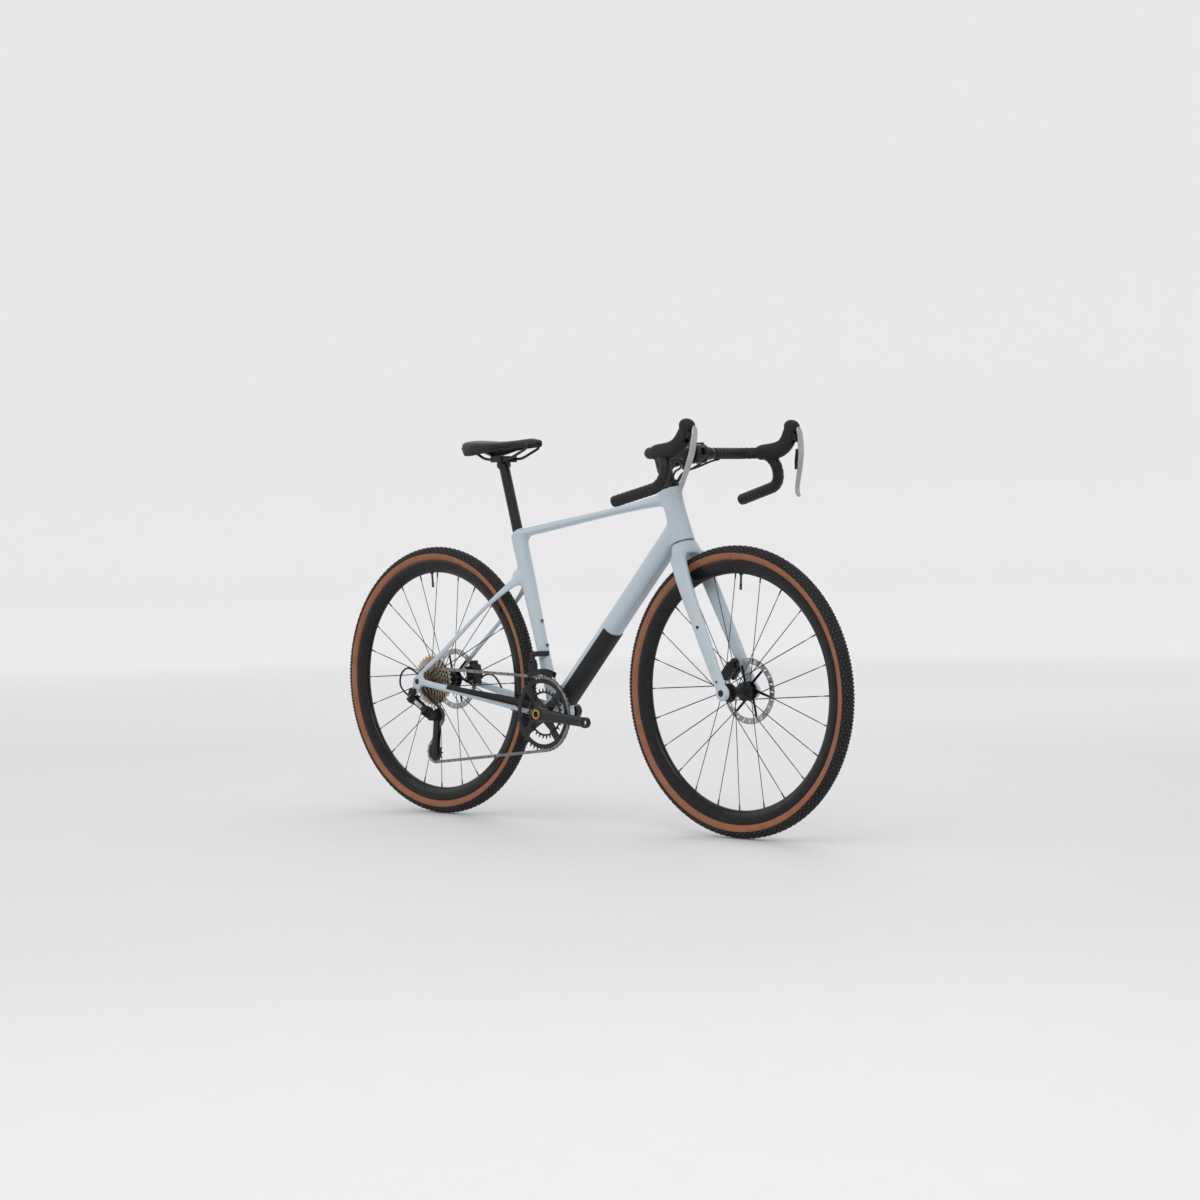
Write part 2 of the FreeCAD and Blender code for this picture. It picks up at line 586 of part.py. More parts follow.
def frameBearings():
    low = tubeRing(headLow, headLow + steerUp * d.bearingHeight, d.bearingRadius, d.raceRadius + d.runFit)
    top = tubeRing(headTop - steerUp * d.bearingHeight, headTop, d.bearingRadius, d.steererRadius + d.runFit)
    cups = []
    for side in bothSides:
        face = bracket + acrossY * (side * d.shellWidth / 2)
        lip = face + acrossY * (side * d.cupLip)
        inner = face - acrossY * (side * d.bearingHeight)
        body = rod(inner, face, d.cupRadius).fuse(rod(face, lip, d.cupLipRadius))
        cups.append(body.cut(rod(inner - acrossY * (side * d.overrun), lip + acrossY * (side * d.overrun),
                                 d.spindleRadius + d.runFit)))
    group("frame_bearings", [low, top] + cups)


def hangerPlace():
    return rearAxle - aheadX * d.mountBack - upZ * d.mountDrop


def frameFittings():
    post = rod(bracket, seatTubeTop(), d.postRadius + d.postFit)
    wedge = wedgeShape().cut(post)
    bolts = []
    for place, out in bossPlaces()[:2]:
        head = rod(place, place + out * d.bossHeadThick, d.bossHeadRadius)
        bolts.append(head.fuse(rod(place - out * d.bossDepth, place, d.bossRadius)))
    outer = rearAxle - acrossY * (d.dropoutInner + d.dropoutThick)
    eye = hangerPlace() + acrossY * outer.y
    plate = loftPlate(outer, eye, d.dropoutRadius, d.hangerHalfWide, d.hangerThick)
    holes = [
        rod(outer + acrossY * d.overrun, outer - acrossY * d.overrun, d.axleHeadRadius + d.runFit),
        rod(eye + acrossY * d.overrun, eye - acrossY * d.overrun, d.hangerBoltRadius),
    ]
    hanger = plate.cut(holes)
    group("frame_fittings", [wedge] + bolts + [hanger])
    return hanger


def loftPlate(start, end, startRadius, endRadius, thick):
    """A flat link with two round ends, laid across Y and thickening to the right."""
    out = acrossY * (rightSide * thick)
    along = unit(end - start)
    side = along.cross(acrossY)
    web = polygonPrism([start + side * startRadius, end + side * endRadius, end - side * endRadius,
                        start - side * startRadius], out)
    return rod(start, start + out, startRadius).fuse([web, rod(end, end + out, endRadius)]).removeSplitter()


def thruAxle(label, centre, half, headOut):
    outline = [
        ("0", f"-{half}"), ("axleRadius", f"-{half}"), ("axleRadius", headOut),
        ("axleHeadRadius - sideGap", headOut),
        ("axleHeadRadius - sideGap", f"{headOut} + axleHeadThick"), ("0", f"{headOut} + axleHeadThick"),
    ]
    turnedBody(label, outline, centre, -acrossY)


# Steering

def steerPoint(drop, ahead):
    return crown - steerUp * drop + steerAhead * ahead


def forkShape():
    crownShares = ((0.0, 0.52, 1.12), (0.45, 0.8, 1.08), (1.0, 1.0, 0.96))
    rings = []
    for share, wide, deep in crownShares:
        centre = steerPoint(d.crownDrop * share, 0)
        rings.append(ring(centre, -steerUp, d.crownHalfWide * wide, d.crownHalfDeep * deep, d.softPower))
    block = loft(rings)
    foot = frontAxle + acrossY * (d.forkInner + d.forkEndThick / 2)
    knee = steerPoint(d.crownDrop * d.kneeDropShare, 0) + acrossY * d.legSpread
    parts = [block]
    stationShares = ((0.0, 0.0), (0.42, 0.55), (0.96, 1.0))
    for side in bothSides:
        rings = []
        for share, taper in stationShares:
            centre = mirrored(side, knee + (foot - knee) * share)
            wide = d.legTopHalfWide + (d.forkEndThick / 2 - d.legTopHalfWide) * taper
            deep = d.legTopHalfDeep + (d.forkEndRadius * d.legFootShare - d.legTopHalfDeep) * taper
            rings.append(ring(centre, foot - knee, wide, deep, d.softPower))
        inner = frontAxle + acrossY * (side * d.forkInner)
        parts.append(loft(rings))
        parts.append(rod(inner, inner + acrossY * (side * d.forkEndThick), d.forkEndRadius))
    race = rod(crown, crown + steerUp * (d.crownGap + d.bearingHeight), d.raceRadius)
    steerer = rod(crown, crown + steerUp * d.steererLength, d.steererRadius)
    solid = parts[0].fuse(parts[1:] + [race, steerer])
    hubRoom = rod(frontAxle - acrossY * d.forkInner, frontAxle + acrossY * d.forkInner, 2 * d.forkEndRadius)
    reach = acrossY * (d.forkInner + d.overrun)
    axleHole = rod(frontAxle - reach, frontAxle + reach, d.axleRadius + d.runFit)
    return keep("fork", solid.cut([wheelSpace(frontAxle), hubRoom, axleHole]))


def steerStack(hoseHoles):
    """Headset cover with its hose holes, spacers and top cap, all about the steerer."""
    bore = d.steererRadius + d.runFit
    coverLow = headTop + steerUp * d.sideGap
    coverTop = headTop + steerUp * d.coverHeight
    cover = loft([
        ring(coverLow, steerUp, d.headTopHalf, d.headTopHalf, d.roundPower),
        ring(coverTop, steerUp, d.coverTopHalf, d.coverTopHalf, d.roundPower),
    ])
    steererHole = rod(headTop - steerUp * d.overrun, coverTop + steerUp * d.overrun, bore)
    solids = largest(cover.cut([steererHole] + hoseHoles), 1)
    for step in range(int(d.spacerCount)):
        low = coverTop + steerUp * (d.spacerHeight * step)
        solids.append(tubeRing(low, low + steerUp * d.spacerHeight, d.spacerRadius, bore))
    capLow = stemLow + steerUp * d.stemClampHeight
    solids.append(rod(capLow, capLow + steerUp * d.capHeight, d.capRadius))
    group("headset_cover", solids)


stemLow = headTop + steerUp * (d.coverHeight + d.spacerHeight * d.spacerCount)
stemRoot = stemLow + steerUp * (d.stemClampHeight / 2)
stemTilt = math.radians(d.stemRise)
stemAlong = Vector(math.cos(stemTilt), 0, math.sin(stemTilt))
stemUp = Vector(-math.sin(stemTilt), 0, math.cos(stemTilt))
barCentre = stemRoot + stemAlong * d.stemLength


def stemShapes():
    bore = d.steererRadius + d.runFit
    clamp = rod(stemLow, stemLow + steerUp * d.stemClampHeight, d.stemClampRadius)
    rootWide = d.stemClampRadius * d.stemRootWideShare
    rootTall = d.stemClampHeight * d.stemRootTallShare
    waist = stemRoot + stemAlong * (d.stemLength * d.stemWaistShare)
    body = loft([
        ring(stemRoot, stemAlong, rootWide, rootTall, d.boxPower),
        ring(waist, stemAlong, d.stemBodyHalfWide, d.stemBodyHalfTall, d.softPower),
        ring(barCentre, stemAlong, d.faceWidth / 2, d.faceBoltRise + d.boltHeadRadius, d.boxPower),
    ])
    stemTop = stemLow + steerUp * d.stemClampHeight
    steererHole = rod(stemLow - steerUp * d.overrun, stemTop + steerUp * d.overrun, bore)
    reach = acrossY * (d.faceWidth / 2 + d.overrun)
    barHole = rod(barCentre - reach, barCentre + reach, d.barClampRadius)
    half = d.faceWidth + d.overrun
    ahead = slab(barCentre + stemAlong * (half / 2), stemAlong, stemUp, half, 2 * half, 2 * half)
    boltHoles = []
    for place in faceBoltPlaces():
        boltHoles.append(rod(place - stemAlong * d.boltLength, place + stemAlong * d.overrun, d.boltRadius))
    stem = clamp.fuse(body).cut([steererHole, barHole, ahead] + boltHoles)
    keep("stem", stem)
    front = barCentre + stemAlong * d.faceGap
    ringHalf = d.barClampRadius + d.faceThick
    plate = rod(barCentre - acrossY * (d.faceWidth / 2), barCentre + acrossY * (d.faceWidth / 2), ringHalf)
    ears = slab(front + stemAlong * (d.faceThick / 2), stemAlong, stemUp, d.faceThick,
                2 * (d.faceBoltRise + d.boltHeadRadius), d.faceWidth)
    keepAhead = slab(front + stemAlong * (half / 2), stemAlong, stemUp, half, 2 * half, 2 * half)
    window = slab(barCentre + stemAlong * ringHalf, stemAlong, stemUp, ringHalf, d.barClampRadius,
                  d.faceBoltSpread)
    headRooms = []
    bolts = []
    for place in faceBoltPlaces():
        head = place + stemAlong * (d.faceGap + d.faceThick)
        headRooms.append(rod(head, head + stemAlong * d.overrun, d.boltHeadRadius + d.runFit))
        shank = rod(place - stemAlong * d.boltLength, head, d.boltRadius)
        bolts.append(shank.fuse(rod(head, head + stemAlong * d.boltHeadRadius, d.boltHeadRadius)))
    keep("stem_faceplate", plate.fuse(ears).common(keepAhead).cut([barHole, window] + boltHoles + headRooms))
    group("stem_bolts", bolts)


def faceBoltPlaces():
    places = []
    for side in bothSides:
        for rise in bothSides:
            places.append(barCentre + acrossY * (side * d.faceBoltSpread) + stemUp * (rise * d.faceBoltRise))
    return places


def barPoints():
    """Half of the drop bar, from its middle to its left end."""
    corner = barCentre + acrossY * d.barCornerHalf
    front = corner + aheadX * d.barReach + acrossY * d.barFlareTop
    low = front - upZ * d.barDrop + acrossY * d.barFlareLow
    end = low - aheadX * d.barEndBack + acrossY * d.barEndFlare + upZ * d.barEndLift
    return [barCentre, corner, front, low, end]


def barPath(side, start):
    points = [mirrored(side, point) for point in barPoints()]
    points[0] = points[0] + acrossY * (side * start)
    return roundedPath(points, (d.barCornerBend, d.barHookBend, d.barDropBend))


def handlebar():
    halves = [tube(barPath(side, 0), d.barRadius) for side in bothSides]
    bulge = rod(barCentre - acrossY * d.barBulgeHalf, barCentre + acrossY * d.barBulgeHalf, d.barClampRadius)
    neck = d.tapeStart - d.barBulgeHalf
    cones = []
    for side in bothSides:
        start = barCentre + acrossY * (side * d.barBulgeHalf)
        cones.append(Part.makeCone(d.barClampRadius, d.barRadius, neck, start, acrossY * side))
    return keep("handlebar", bulge.fuse(halves + cones))


def barTape(covers):
    solids = []
    for side in bothSides:
        outer = tube(barPath(side, d.tapeStart), d.barRadius + d.tapeThick)
        inner = tube(barPath(side, d.tapeStart), d.barRadius + d.tapeFit)
        solids += largest(outer.cut([inner] + covers), 2)
        end = mirrored(side, barPoints()[-1])
        out = unit(end - mirrored(side, barPoints()[-2]))
        solids.append(rod(end, end + out * d.plugLength, d.plugRadius))
    group("bar_tape", solids)


# Levers. One side is described at the left and mirrored to the right.
leverTilt = math.radians(d.leverLean)
leverPivot = barPoints()[2] + Vector(d.leverReach, d.leverOut - d.barFlareTop, d.leverRise)


def leverAxis(side):
    return Vector(0, math.cos(leverTilt), side * math.sin(leverTilt))


def leverDown(side):
    return Vector(0, side * math.sin(leverTilt), -math.cos(leverTilt))


def hoodRings(side, shrink):
    """The hood grows from the bar, sweeps up and ends in a round knob."""
    front = barPoints()[2]
    stationShares = (
        (-0.62, 0.0, 0.9, 0.86), (-0.1, 0.08, 1.0, 1.0), (0.45, 0.42, 0.92, 0.92), (0.72, 1.0, 0.92, 0.88),
        (0.86, 1.62, 0.82, 0.62),
    )
    spine = []
    for aheadShare, riseShare, wideShare, tallShare in stationShares:
        lean = d.leverRise * riseShare * math.tan(leverTilt)
        out = d.leverOut * aheadShare - lean
        place = front + Vector(d.leverReach * aheadShare, out, d.leverRise * riseShare)
        spine.append((mirrored(side, place), wideShare, tallShare))
    rings = []
    for i, (place, wideShare, tallShare) in enumerate(spine):
        before = spine[max(i - 1, 0)][0]
        after = spine[min(i + 1, len(spine) - 1)][0]
        rings.append(ring(place, after - before, d.hoodHalfWide * wideShare - shrink,
                          d.hoodHalfTall * tallShare - shrink, d.softPower))
    return rings


def leverMount(bar):
    brackets = []
    hoods = []
    for side in bothSides:
        pivot = mirrored(side, leverPivot)
        axis = leverAxis(side)
        outer = loft(hoodRings(side, 0))
        core = loft(hoodRings(side, d.hoodWall))
        half = d.carrierHalf + d.cheekGap + d.cheekThick
        nose = rod(pivot - axis * half, pivot + axis * half, d.carrierRadius + d.cheekThick / 2)
        neckReach = d.carrierRadius * d.neckShare
        up = axis.cross(aheadX)
        neck = slab(pivot - aheadX * neckReach, aheadX, up, 2 * neckReach, 2 * d.carrierRadius, 2 * half)
        slotReach = d.carrierRadius * d.slotShare
        slot = slab(pivot + aheadX * d.carrierRadius, aheadX, up, 2 * slotReach, 2 * slotReach,
                    2 * (d.carrierHalf + d.cheekGap))
        pin = rod(pivot - axis * half, pivot + axis * half, d.pinRadius)
        nose = nose.fuse(neck).cut(slot)
        body = core.fuse(nose).cut(slotRoom(pivot, axis)).fuse(pin).cut(bar)
        brackets.append(largest(body, 1)[0])
        hoods.append(largest(outer.cut([core, nose, slotRoom(pivot, axis), bar, pin]), 1)[0])
    group("lever_brackets", brackets)
    group("lever_hoods", hoods)
    return brackets + hoods


def slotRoom(pivot, axis):
    """The room that the lever's root swings in."""
    half = axis * (d.carrierHalf + d.cheekGap)
    return rod(pivot - half, pivot + half, d.carrierRadius + d.carrierDrop)


def bladeRings(side):
    pivot = mirrored(side, leverPivot)
    down = leverDown(side)
    stationShares = (
        (0.06, 0.56, 0.85, 1.0), (0.3, 0.5, 1.0, 1.0), (0.55, 0.0, 0.95, 0.9), (0.85, -0.75, 0.85, 0.8),
        (0.97, -0.8, 0.7, 0.8), (1.0, -0.55, 0.55, 0.7),
    )
    spine = []
    for downShare, aheadShare, wideShare, thickShare in stationShares:
        place = pivot + down * (d.leverLength * downShare) + aheadX * (d.leverSweep * aheadShare)
        spine.append((place, wideShare, thickShare))
    rings = []
    for i, (place, wideShare, thickShare) in enumerate(spine):
        before = spine[max(i - 1, 0)][0]
        after = spine[min(i + 1, len(spine) - 1)][0]
        wide = d.leverHalfWide * wideShare
        rings.append(ring(place, after - before, wide, d.leverHalfThick * thickShare, d.softPower))
    return rings


def swingPlace(side):
    """Where the blade's shift swing turns, ahead of and below the carrier's pivot."""
    ahead = aheadX * (d.leverSweep * d.swingAheadShare)
    return mirrored(side, leverPivot) + leverDown(side) * d.swingPinDrop + ahead


def paddlePlace(side):
    down = leverDown(side) * (d.leverLength * d.paddleDropShare)
    return mirrored(side, leverPivot) + down - aheadX * (d.paddleBack * d.paddleInShare)


def leverSet(side, name):
    """The carrier pivots in the bracket, the blade swings on the carrier, the paddle on the blade."""
    pivot = mirrored(side, leverPivot)
    axis = leverAxis(side)
    down = leverDown(side)
    half = axis * d.carrierHalf
    swing = swingPlace(side)
    hub = rod(pivot - half, pivot + half, d.carrierRadius)
    back = aheadX * (d.leverSweep * d.swingAheadShare)
    stub = rod(swing - back, swing + aheadX * d.swingPinHalf, 2 * d.pinRadius)
    armMiddle = pivot + down * (d.swingPinDrop / 2) + aheadX * (d.leverSweep * d.armAheadShare)
    arm = slab(armMiddle, down, aheadX, d.swingPinDrop, d.carrierRadius, 2 * d.carrierHalf * d.armWideShare)
    hole = rod(pivot - half * 2, pivot + half * 2, d.pinRadius + d.runFit)
    carrier = hub.fuse([arm, stub]).cut(hole)
    keep(f"{name}_lever_carrier", carrier)
    blade = loft(bladeRings(side))
    collarBack = aheadX * (d.swingPinHalf * d.collarBackShare)
    collar = rod(swing - collarBack, swing + aheadX * d.swingPinHalf, d.leverHalfWide)
    reach = aheadX * d.overrun
    swingHole = rod(swing - reach, swing + reach, 2 * d.pinRadius + d.runFit)
    room = rod(pivot - half * 2, pivot + half * 2, d.carrierRadius + d.seatGap)
    armRoom = slab(armMiddle, down, aheadX, d.swingPinDrop * d.armRoomShare, d.carrierRadius + 2 * d.seatGap,
                   2 * d.carrierHalf * d.armRoomShare)
    blade = blade.fuse(collar).cut([swingHole, room, armRoom])
    blade = largest(blade, 1)[0]
    top = paddlePlace(side)
    low = top + down * d.paddleLength - aheadX * d.paddleBack
    paddlePin = rod(top - aheadX * (2 * d.paddleHalfThick), top + aheadX * d.leverSweep, d.pinRadius)
    waist = top + (low - top) * d.paddleWaistShare
    paddle = loft([
        ring(top, low - top, d.paddleHalfWide * d.paddleTopShare, d.paddleHalfThick, d.softPower),
        ring(waist, low - top, d.paddleHalfWide, d.paddleHalfThick, d.softPower),
        ring(low, low - top, d.paddleHalfWide * d.paddleLowShare, d.paddleHalfThick, d.softPower),
    ])
    hingeHalf = aheadX * (d.paddleHalfThick * d.paddleHingeShare)
    hinge = rod(top - hingeHalf, top + hingeHalf, 2 * d.pinRadius)
    pinHole = rod(top - reach, top + reach, d.pinRadius + d.runFit)
    paddle = paddle.fuse(hinge).cut(pinHole)
    keep(f"{name}_brake_lever", blade.fuse(paddlePin).cut(paddleRoom(top, low)))
    keep(f"{name}_shift_paddle", paddle)


def paddleRoom(top, low):
    """The room that the paddle swings in behind the blade, less its pin."""
    spare = (low - top) * d.paddleRoomShare
    thick = d.paddleHalfThick + d.seatGap
    shell = loft([
        ring(top - spare, low - top, 2 * d.paddleHalfWide, thick, d.softPower),
        ring(low + spare, low - top, 2 * d.paddleHalfWide, thick, d.softPower),
    ])
    keepPin = rod(top - aheadX * d.overrun, top + aheadX * d.overrun, d.pinRadius)
    return shell.cut(keepPin)


def hosePoints(side, roll, back, drop, spread, entryTurn):
    """From under the tape's end, below the stem and down into the headset cover."""
    rollTurn = math.radians(roll)
    entry = math.radians(entryTurn)
    lean = math.radians(d.hoseEntryLean)
    under = Vector(-math.sin(rollTurn), 0, -math.cos(rollTurn)) * (d.barRadius + d.hoseRadius + d.seatGap)
    start = barCentre + under + acrossY * (side * (d.tapeStart + d.hoseInset))
    edge = barCentre + under + unit(under) * d.hoseSwell + acrossY * (side * d.tapeStart)
    hang = barCentre + Vector(-back, side * spread, -drop)
    away = steerAhead * math.cos(entry) + acrossY * (side * math.sin(entry))
    end = headTop + steerUp * d.hoseEntryRise + away * d.hoseEntryRadius
    above = end + (away * math.sin(lean) + steerUp * math.cos(lean)) * d.hoseLead
    return [start, edge, hang, above, end]


def steeringHoses():
    """Two hoses and two housings, and the holes that they leave in what they run through."""
    rows = (
        (d.innerHoseRoll, d.innerHoseBack, d.innerHoseDrop, d.innerHoseSpread, d.innerHoseTurn),
        (d.outerHoseRoll, d.outerHoseBack, d.outerHoseDrop, d.outerHoseSpread, d.outerHoseTurn),
    )
    tubes = []
    holes = []
    for side in bothSides:
        for row in rows:
            path = cordPath(hosePoints(side, *row))
            tubes.append(tube(path, d.hoseRadius))
            holes.append(tube(path, d.hoseRadius + d.runFit))
    group("steering_hoses", tubes)
    return holes


# Wheels

def wheelRim(name, axle):
    half = [
        ("rimInnerRadius", "rimNoseWidth / 2"), ("rimShoulderRadius", "rimShoulderWidth / 2"),
        ("rimBulgeRadius", "rimWidth / 2"), ("rimRadius", "rimWidth / 2"),
        ("rimRadius", "rimWidth / 2 - rimWall"),
        ("rimSeatRadius", "rimWidth / 2 - rimWall"), ("rimSeatRadius - rimWellDepth", "rimWellWidth / 2"),
    ]
    other = [(radius, f"-({place})") for radius, place in reversed(half)]
    return turnedBody(f"{name}_rim", half + other, axle, acrossY)


def turnedFace(edges, axle):
    return Part.Face(Part.Wire(edges)).revolve(axle, acrossY, 360)


def wheelTyre(name, axle):
    """A thin casing hooked in the rim and a thicker tread laid over its crown."""
    centre = d.tyreRadius - d.tyreSection
    outer = d.tyreSection - d.treadDepth
    beadOut = math.sqrt(outer ** 2 - (centre - d.rimRadius) ** 2)
    beadIn = beadOut - d.beadThick
    inner = outer - d.casingWall
    seat = d.rimSeatRadius

    def at(radius, place):
        return axle + upZ * radius + acrossY * place

    edges = [
        Part.LineSegment(at(seat, beadOut), at(d.rimRadius, beadOut)).toShape(),
        Part.Arc(at(d.rimRadius, beadOut), at(centre + outer, 0), at(d.rimRadius, -beadOut)).toShape(),
        Part.LineSegment(at(d.rimRadius, -beadOut), at(seat, -beadOut)).toShape(),
        Part.LineSegment(at(seat, -beadOut), at(seat, -beadIn)).toShape(),
        Part.LineSegment(at(seat, -beadIn), at(d.rimRadius, -beadIn)).toShape(),
        Part.Arc(at(d.rimRadius, -beadIn), at(centre + inner, 0), at(d.rimRadius, beadIn)).toShape(),
        Part.LineSegment(at(d.rimRadius, beadIn), at(seat, beadIn)).toShape(),
        Part.LineSegment(at(seat, beadIn), at(seat, beadOut)).toShape(),
    ]
    keep(f"{name}_tyre_casing", turnedFace(edges, axle))
    edge = math.radians(d.treadHalfAngle)

    def treadAt(size, side):
        return at(centre + size * math.cos(edge), side * size * math.sin(edge))

    tread = [
        Part.Arc(treadAt(d.tyreSection, 1), at(d.tyreRadius, 0), treadAt(d.tyreSection, -1)).toShape(),
        Part.LineSegment(treadAt(d.tyreSection, -1), treadAt(outer, -1)).toShape(),
        Part.Arc(treadAt(outer, -1), at(centre + outer, 0), treadAt(outer, 1)).toShape(),
        Part.LineSegment(treadAt(outer, 1), treadAt(d.tyreSection, 1)).toShape(),
    ]
    keep(f"{name}_tyre_tread", turnedFace(tread, axle))


def hubOutline(rightEnd, leftEnd, right, left, rotor):
    return [
        ("axleRadius + runFit", f"-({rightEnd})"), ("hubCapRadius", f"-({rightEnd})"),
        ("hubCapRadius", f"-({right}) - hubFlangeHalf"), ("hubFlangeRadius", f"-({right}) - hubFlangeHalf"),
        ("hubFlangeRadius", f"-({right}) + hubFlangeHalf"),
        ("hubBarrelRadius", f"-({right}) + hubFlangeHalf + hubNeck"),
        ("hubBarrelRadius", f"{left} - hubFlangeHalf - hubNeck"),
        ("hubFlangeRadius", f"{left} - hubFlangeHalf"), ("hubFlangeRadius", f"{left} + hubFlangeHalf"),
        ("hubSplineRadius", f"{left} + hubFlangeHalf + hubNeck"),
        ("hubSplineRadius", f"{rotor} - rotorThick / 2"), ("hubCapRadius", f"{rotor} - rotorThick / 2"),
        ("hubCapRadius", leftEnd), ("axleRadius + runFit", leftEnd),
    ]


def wheelSpokes(name, axle, right, left, hub, rim):
    """Spokes leave both faces of each flange and cross on their way to the rim."""
    pairs = int(d.spokePairs)
    cross = math.radians(d.crossAngle)
    reach = d.rimInnerRadius + d.spokeSink
    solids = []
    for index in range(2 * pairs):
        side = leftSide if index % 2 else rightSide
        flange = left if side == leftSide else right
        lead = 1 if (index // 2) % 2 else -1
        rimTurn = 2 * math.pi * index / (2 * pairs)
        hubTurn = rimTurn + lead * cross
        root = d.hubFlangeRadius - d.spokeSink
        rootPlace = side * flange + lead * d.spokeFlangeOffset
        start = axle + Vector(root * math.cos(hubTurn), rootPlace, root * math.sin(hubTurn))
        end = axle + Vector(reach * math.cos(rimTurn), side * d.spokeRimOffset, reach * math.sin(rimTurn))
        solids += largest(rod(start, end, d.spokeRadius).cut([hub, rim]), 1)
    group(f"{name}_spokes", solids)


def wheelValve(name, axle, angle, rim):
    turn = math.radians(angle)
    out = Vector(math.cos(turn), 0, math.sin(turn))
    seat = axle + out * d.rimInnerRadius
    nut = rod(seat, seat - out * d.valveNutThick, d.valveNutRadius)
    stem = rod(seat, seat - out * d.valveLength, d.valveRadius)
    capStart = seat - out * (d.valveLength - d.valveCapLength)
    cap = rod(capStart, seat - out * d.valveLength, d.valveCapRadius)
    keep(f"{name}_valve", nut.fuse([stem, cap]).cut(rim))


def wheelRotor(name, axle, place):
    body = newBody(f"{name}_rotor")
    hub = newSketch(body, "XY_Plane")
    drawCircle(hub, ("0", "0"), "rotorHubRadius")
    drawCircle(hub, ("0", "0"), "hubCapRadius + runFit")
    addPad(body, hub, "rotorThick")
    arm = newSketch(body, "XY_Plane")
    inner = "rotorRadius - rotorTrack"
    drawOutline(arm, [
        ("rotorHubRadius * rotorRootShare", "-rotorArmWidth"),
        (f"{inner} + sideGap", "rotorArmWidth * armSweepShare"),
        (f"{inner} + sideGap", "rotorArmWidth * armEndShare"),
        ("rotorHubRadius * rotorRootShare", "rotorArmWidth * armRootShare"),
    ])
    addPattern(body, addPad(body, arm, "rotorThick"), arm, "rotorArmCount")
    track = newSketch(body, "XY_Plane")
    drawCircle(track, ("0", "0"), "rotorRadius")
    drawCircle(track, ("0", "0"), inner)
    addPad(body, track, "rotorThick")
    slot = newSketch(body, "XY_Plane")
    middle = "rotorRadius - rotorTrack / 2"
    drawOutline(slot, [
        (f"{middle} - rotorSlotLength / 2", "-rotorSlotWidth"), (f"{middle} + rotorSlotLength / 2", "0"),
        (f"{middle} + rotorSlotLength / 2", "rotorSlotWidth"), (f"{middle} - rotorSlotLength / 2", "0"),
    ])
    cut = body.newObject("PartDesign::Pocket", f"{body.Name}_slot")
    cut.Profile = slot
    cut.Midplane = True
    cut.Type = "ThroughAll"
    body.Tip = cut
    doc.recompute()
    addPattern(body, cut, slot, "rotorSlotCount")
    body.Placement = Placement(axle + acrossY * place, Rotation(upZ, acrossY))
    doc.recompute()


def wheel(name, axle, ends, flanges, rotor, valveAngle):
    hub = turnedBody(f"{name}_hub", hubOutline(*ends, *flanges, rotor), axle, acrossY)
    rim = wheelRim(name, axle)
    wheelTyre(name, axle)
    wheelSpokes(name, axle, worth(flanges[0]), worth(flanges[1]), hub.Shape, rim.Shape)
    wheelValve(name, axle, valveAngle, rim.Shape)
    wheelRotor(name, axle, worth(rotor))


def caliper(name, axle, rotorPlace, angle, blockers):
    """A body over the rotor's edge on its long foot, with its pads."""
    turn = math.radians(angle)
    out = Vector(math.cos(turn), 0, math.sin(turn))
    along = Vector(-math.sin(turn), 0, math.cos(turn))
    middle = axle + acrossY * rotorPlace
    centre = middle + out * d.caliperReach
    body = slab(centre, along, out, d.caliperLength * d.caliperBodyShare, d.caliperDeep, d.caliperWidth)
    foot = slab(centre + out * (d.caliperDeep * d.caliperLiftShare), along, out, d.caliperLength,
                d.caliperDeep * d.caliperFootShare, d.caliperWidth * d.caliperFootWideShare)
    half = acrossY * (d.caliperWidth / 2 + d.padGap)
    pistons = rod(centre - half, centre + half, d.padDeep * d.pistonShare)
    slotHalf = acrossY * (d.rotorThick / 2 + d.padGap + d.padThick)
    slot = rod(middle - slotHalf, middle + slotHalf, d.rotorRadius + d.slotRise)
    solids = largest(body.fuse([foot, pistons]).cut([slot] + blockers), 1)
    for side in bothSides:
        face = d.rotorThick / 2 + d.padGap + d.padThick / 2
        place = centre + acrossY * (side * face) - out * (d.caliperDeep * d.padSinkShare)
        solids.append(slab(place, along, out, d.padLength, d.padDeep, d.padThick))
    group(name, solids)


# Drive

def pitchRadius(teeth):
    return d.chainPitch / (2 * math.sin(math.pi / teeth))


def toothedFace(centre, teeth, phase, tip, pointed):
    """A sprocket's outline, with a root under each roller and a tooth between rollers."""
    pitch = pitchRadius(teeth)
    root = pitch - d.ringRoot
    points = []
    for tooth in range(int(teeth)):
        angle = phase + 2 * math.pi * tooth / teeth
        crest = angle + math.pi / teeth
        rootTurn = d.rootHalf / pitch
        tipTurn = 0 if pointed else d.tipHalf / pitch
        spots = [(root, angle - rootTurn), (root, angle + rootTurn), (pitch + tip, crest - tipTurn)]
        if not pointed:
            spots.append((pitch + tip, crest + tipTurn))
        for radius, turn in spots:
            points.append(centre + Vector(radius * math.cos(turn), 0, radius * math.sin(turn)))
    return points


def sprocket(centre, teeth, phase, thick, tip, bore, pointed):
    points = toothedFace(centre - acrossY * (thick / 2), teeth, phase, tip, pointed)
    disc = polygonPrism(points, acrossY * thick)
    reach = acrossY * d.overrun
    return disc.cut(rod(centre - reach, centre + reach, bore))


cogTeeth = (11, 12, 13, 14, 15, 17, 19, 21, 24, 27, 30, 34)
guideCentre = rearAxle + Vector(d.guideForward, -d.usedCogPlace, -d.guideDrop)


def tensionCentre(angle):
    turn = math.radians(angle)
    return guideCentre + Vector(math.sin(turn), 0, -math.cos(turn)) * d.cageLength


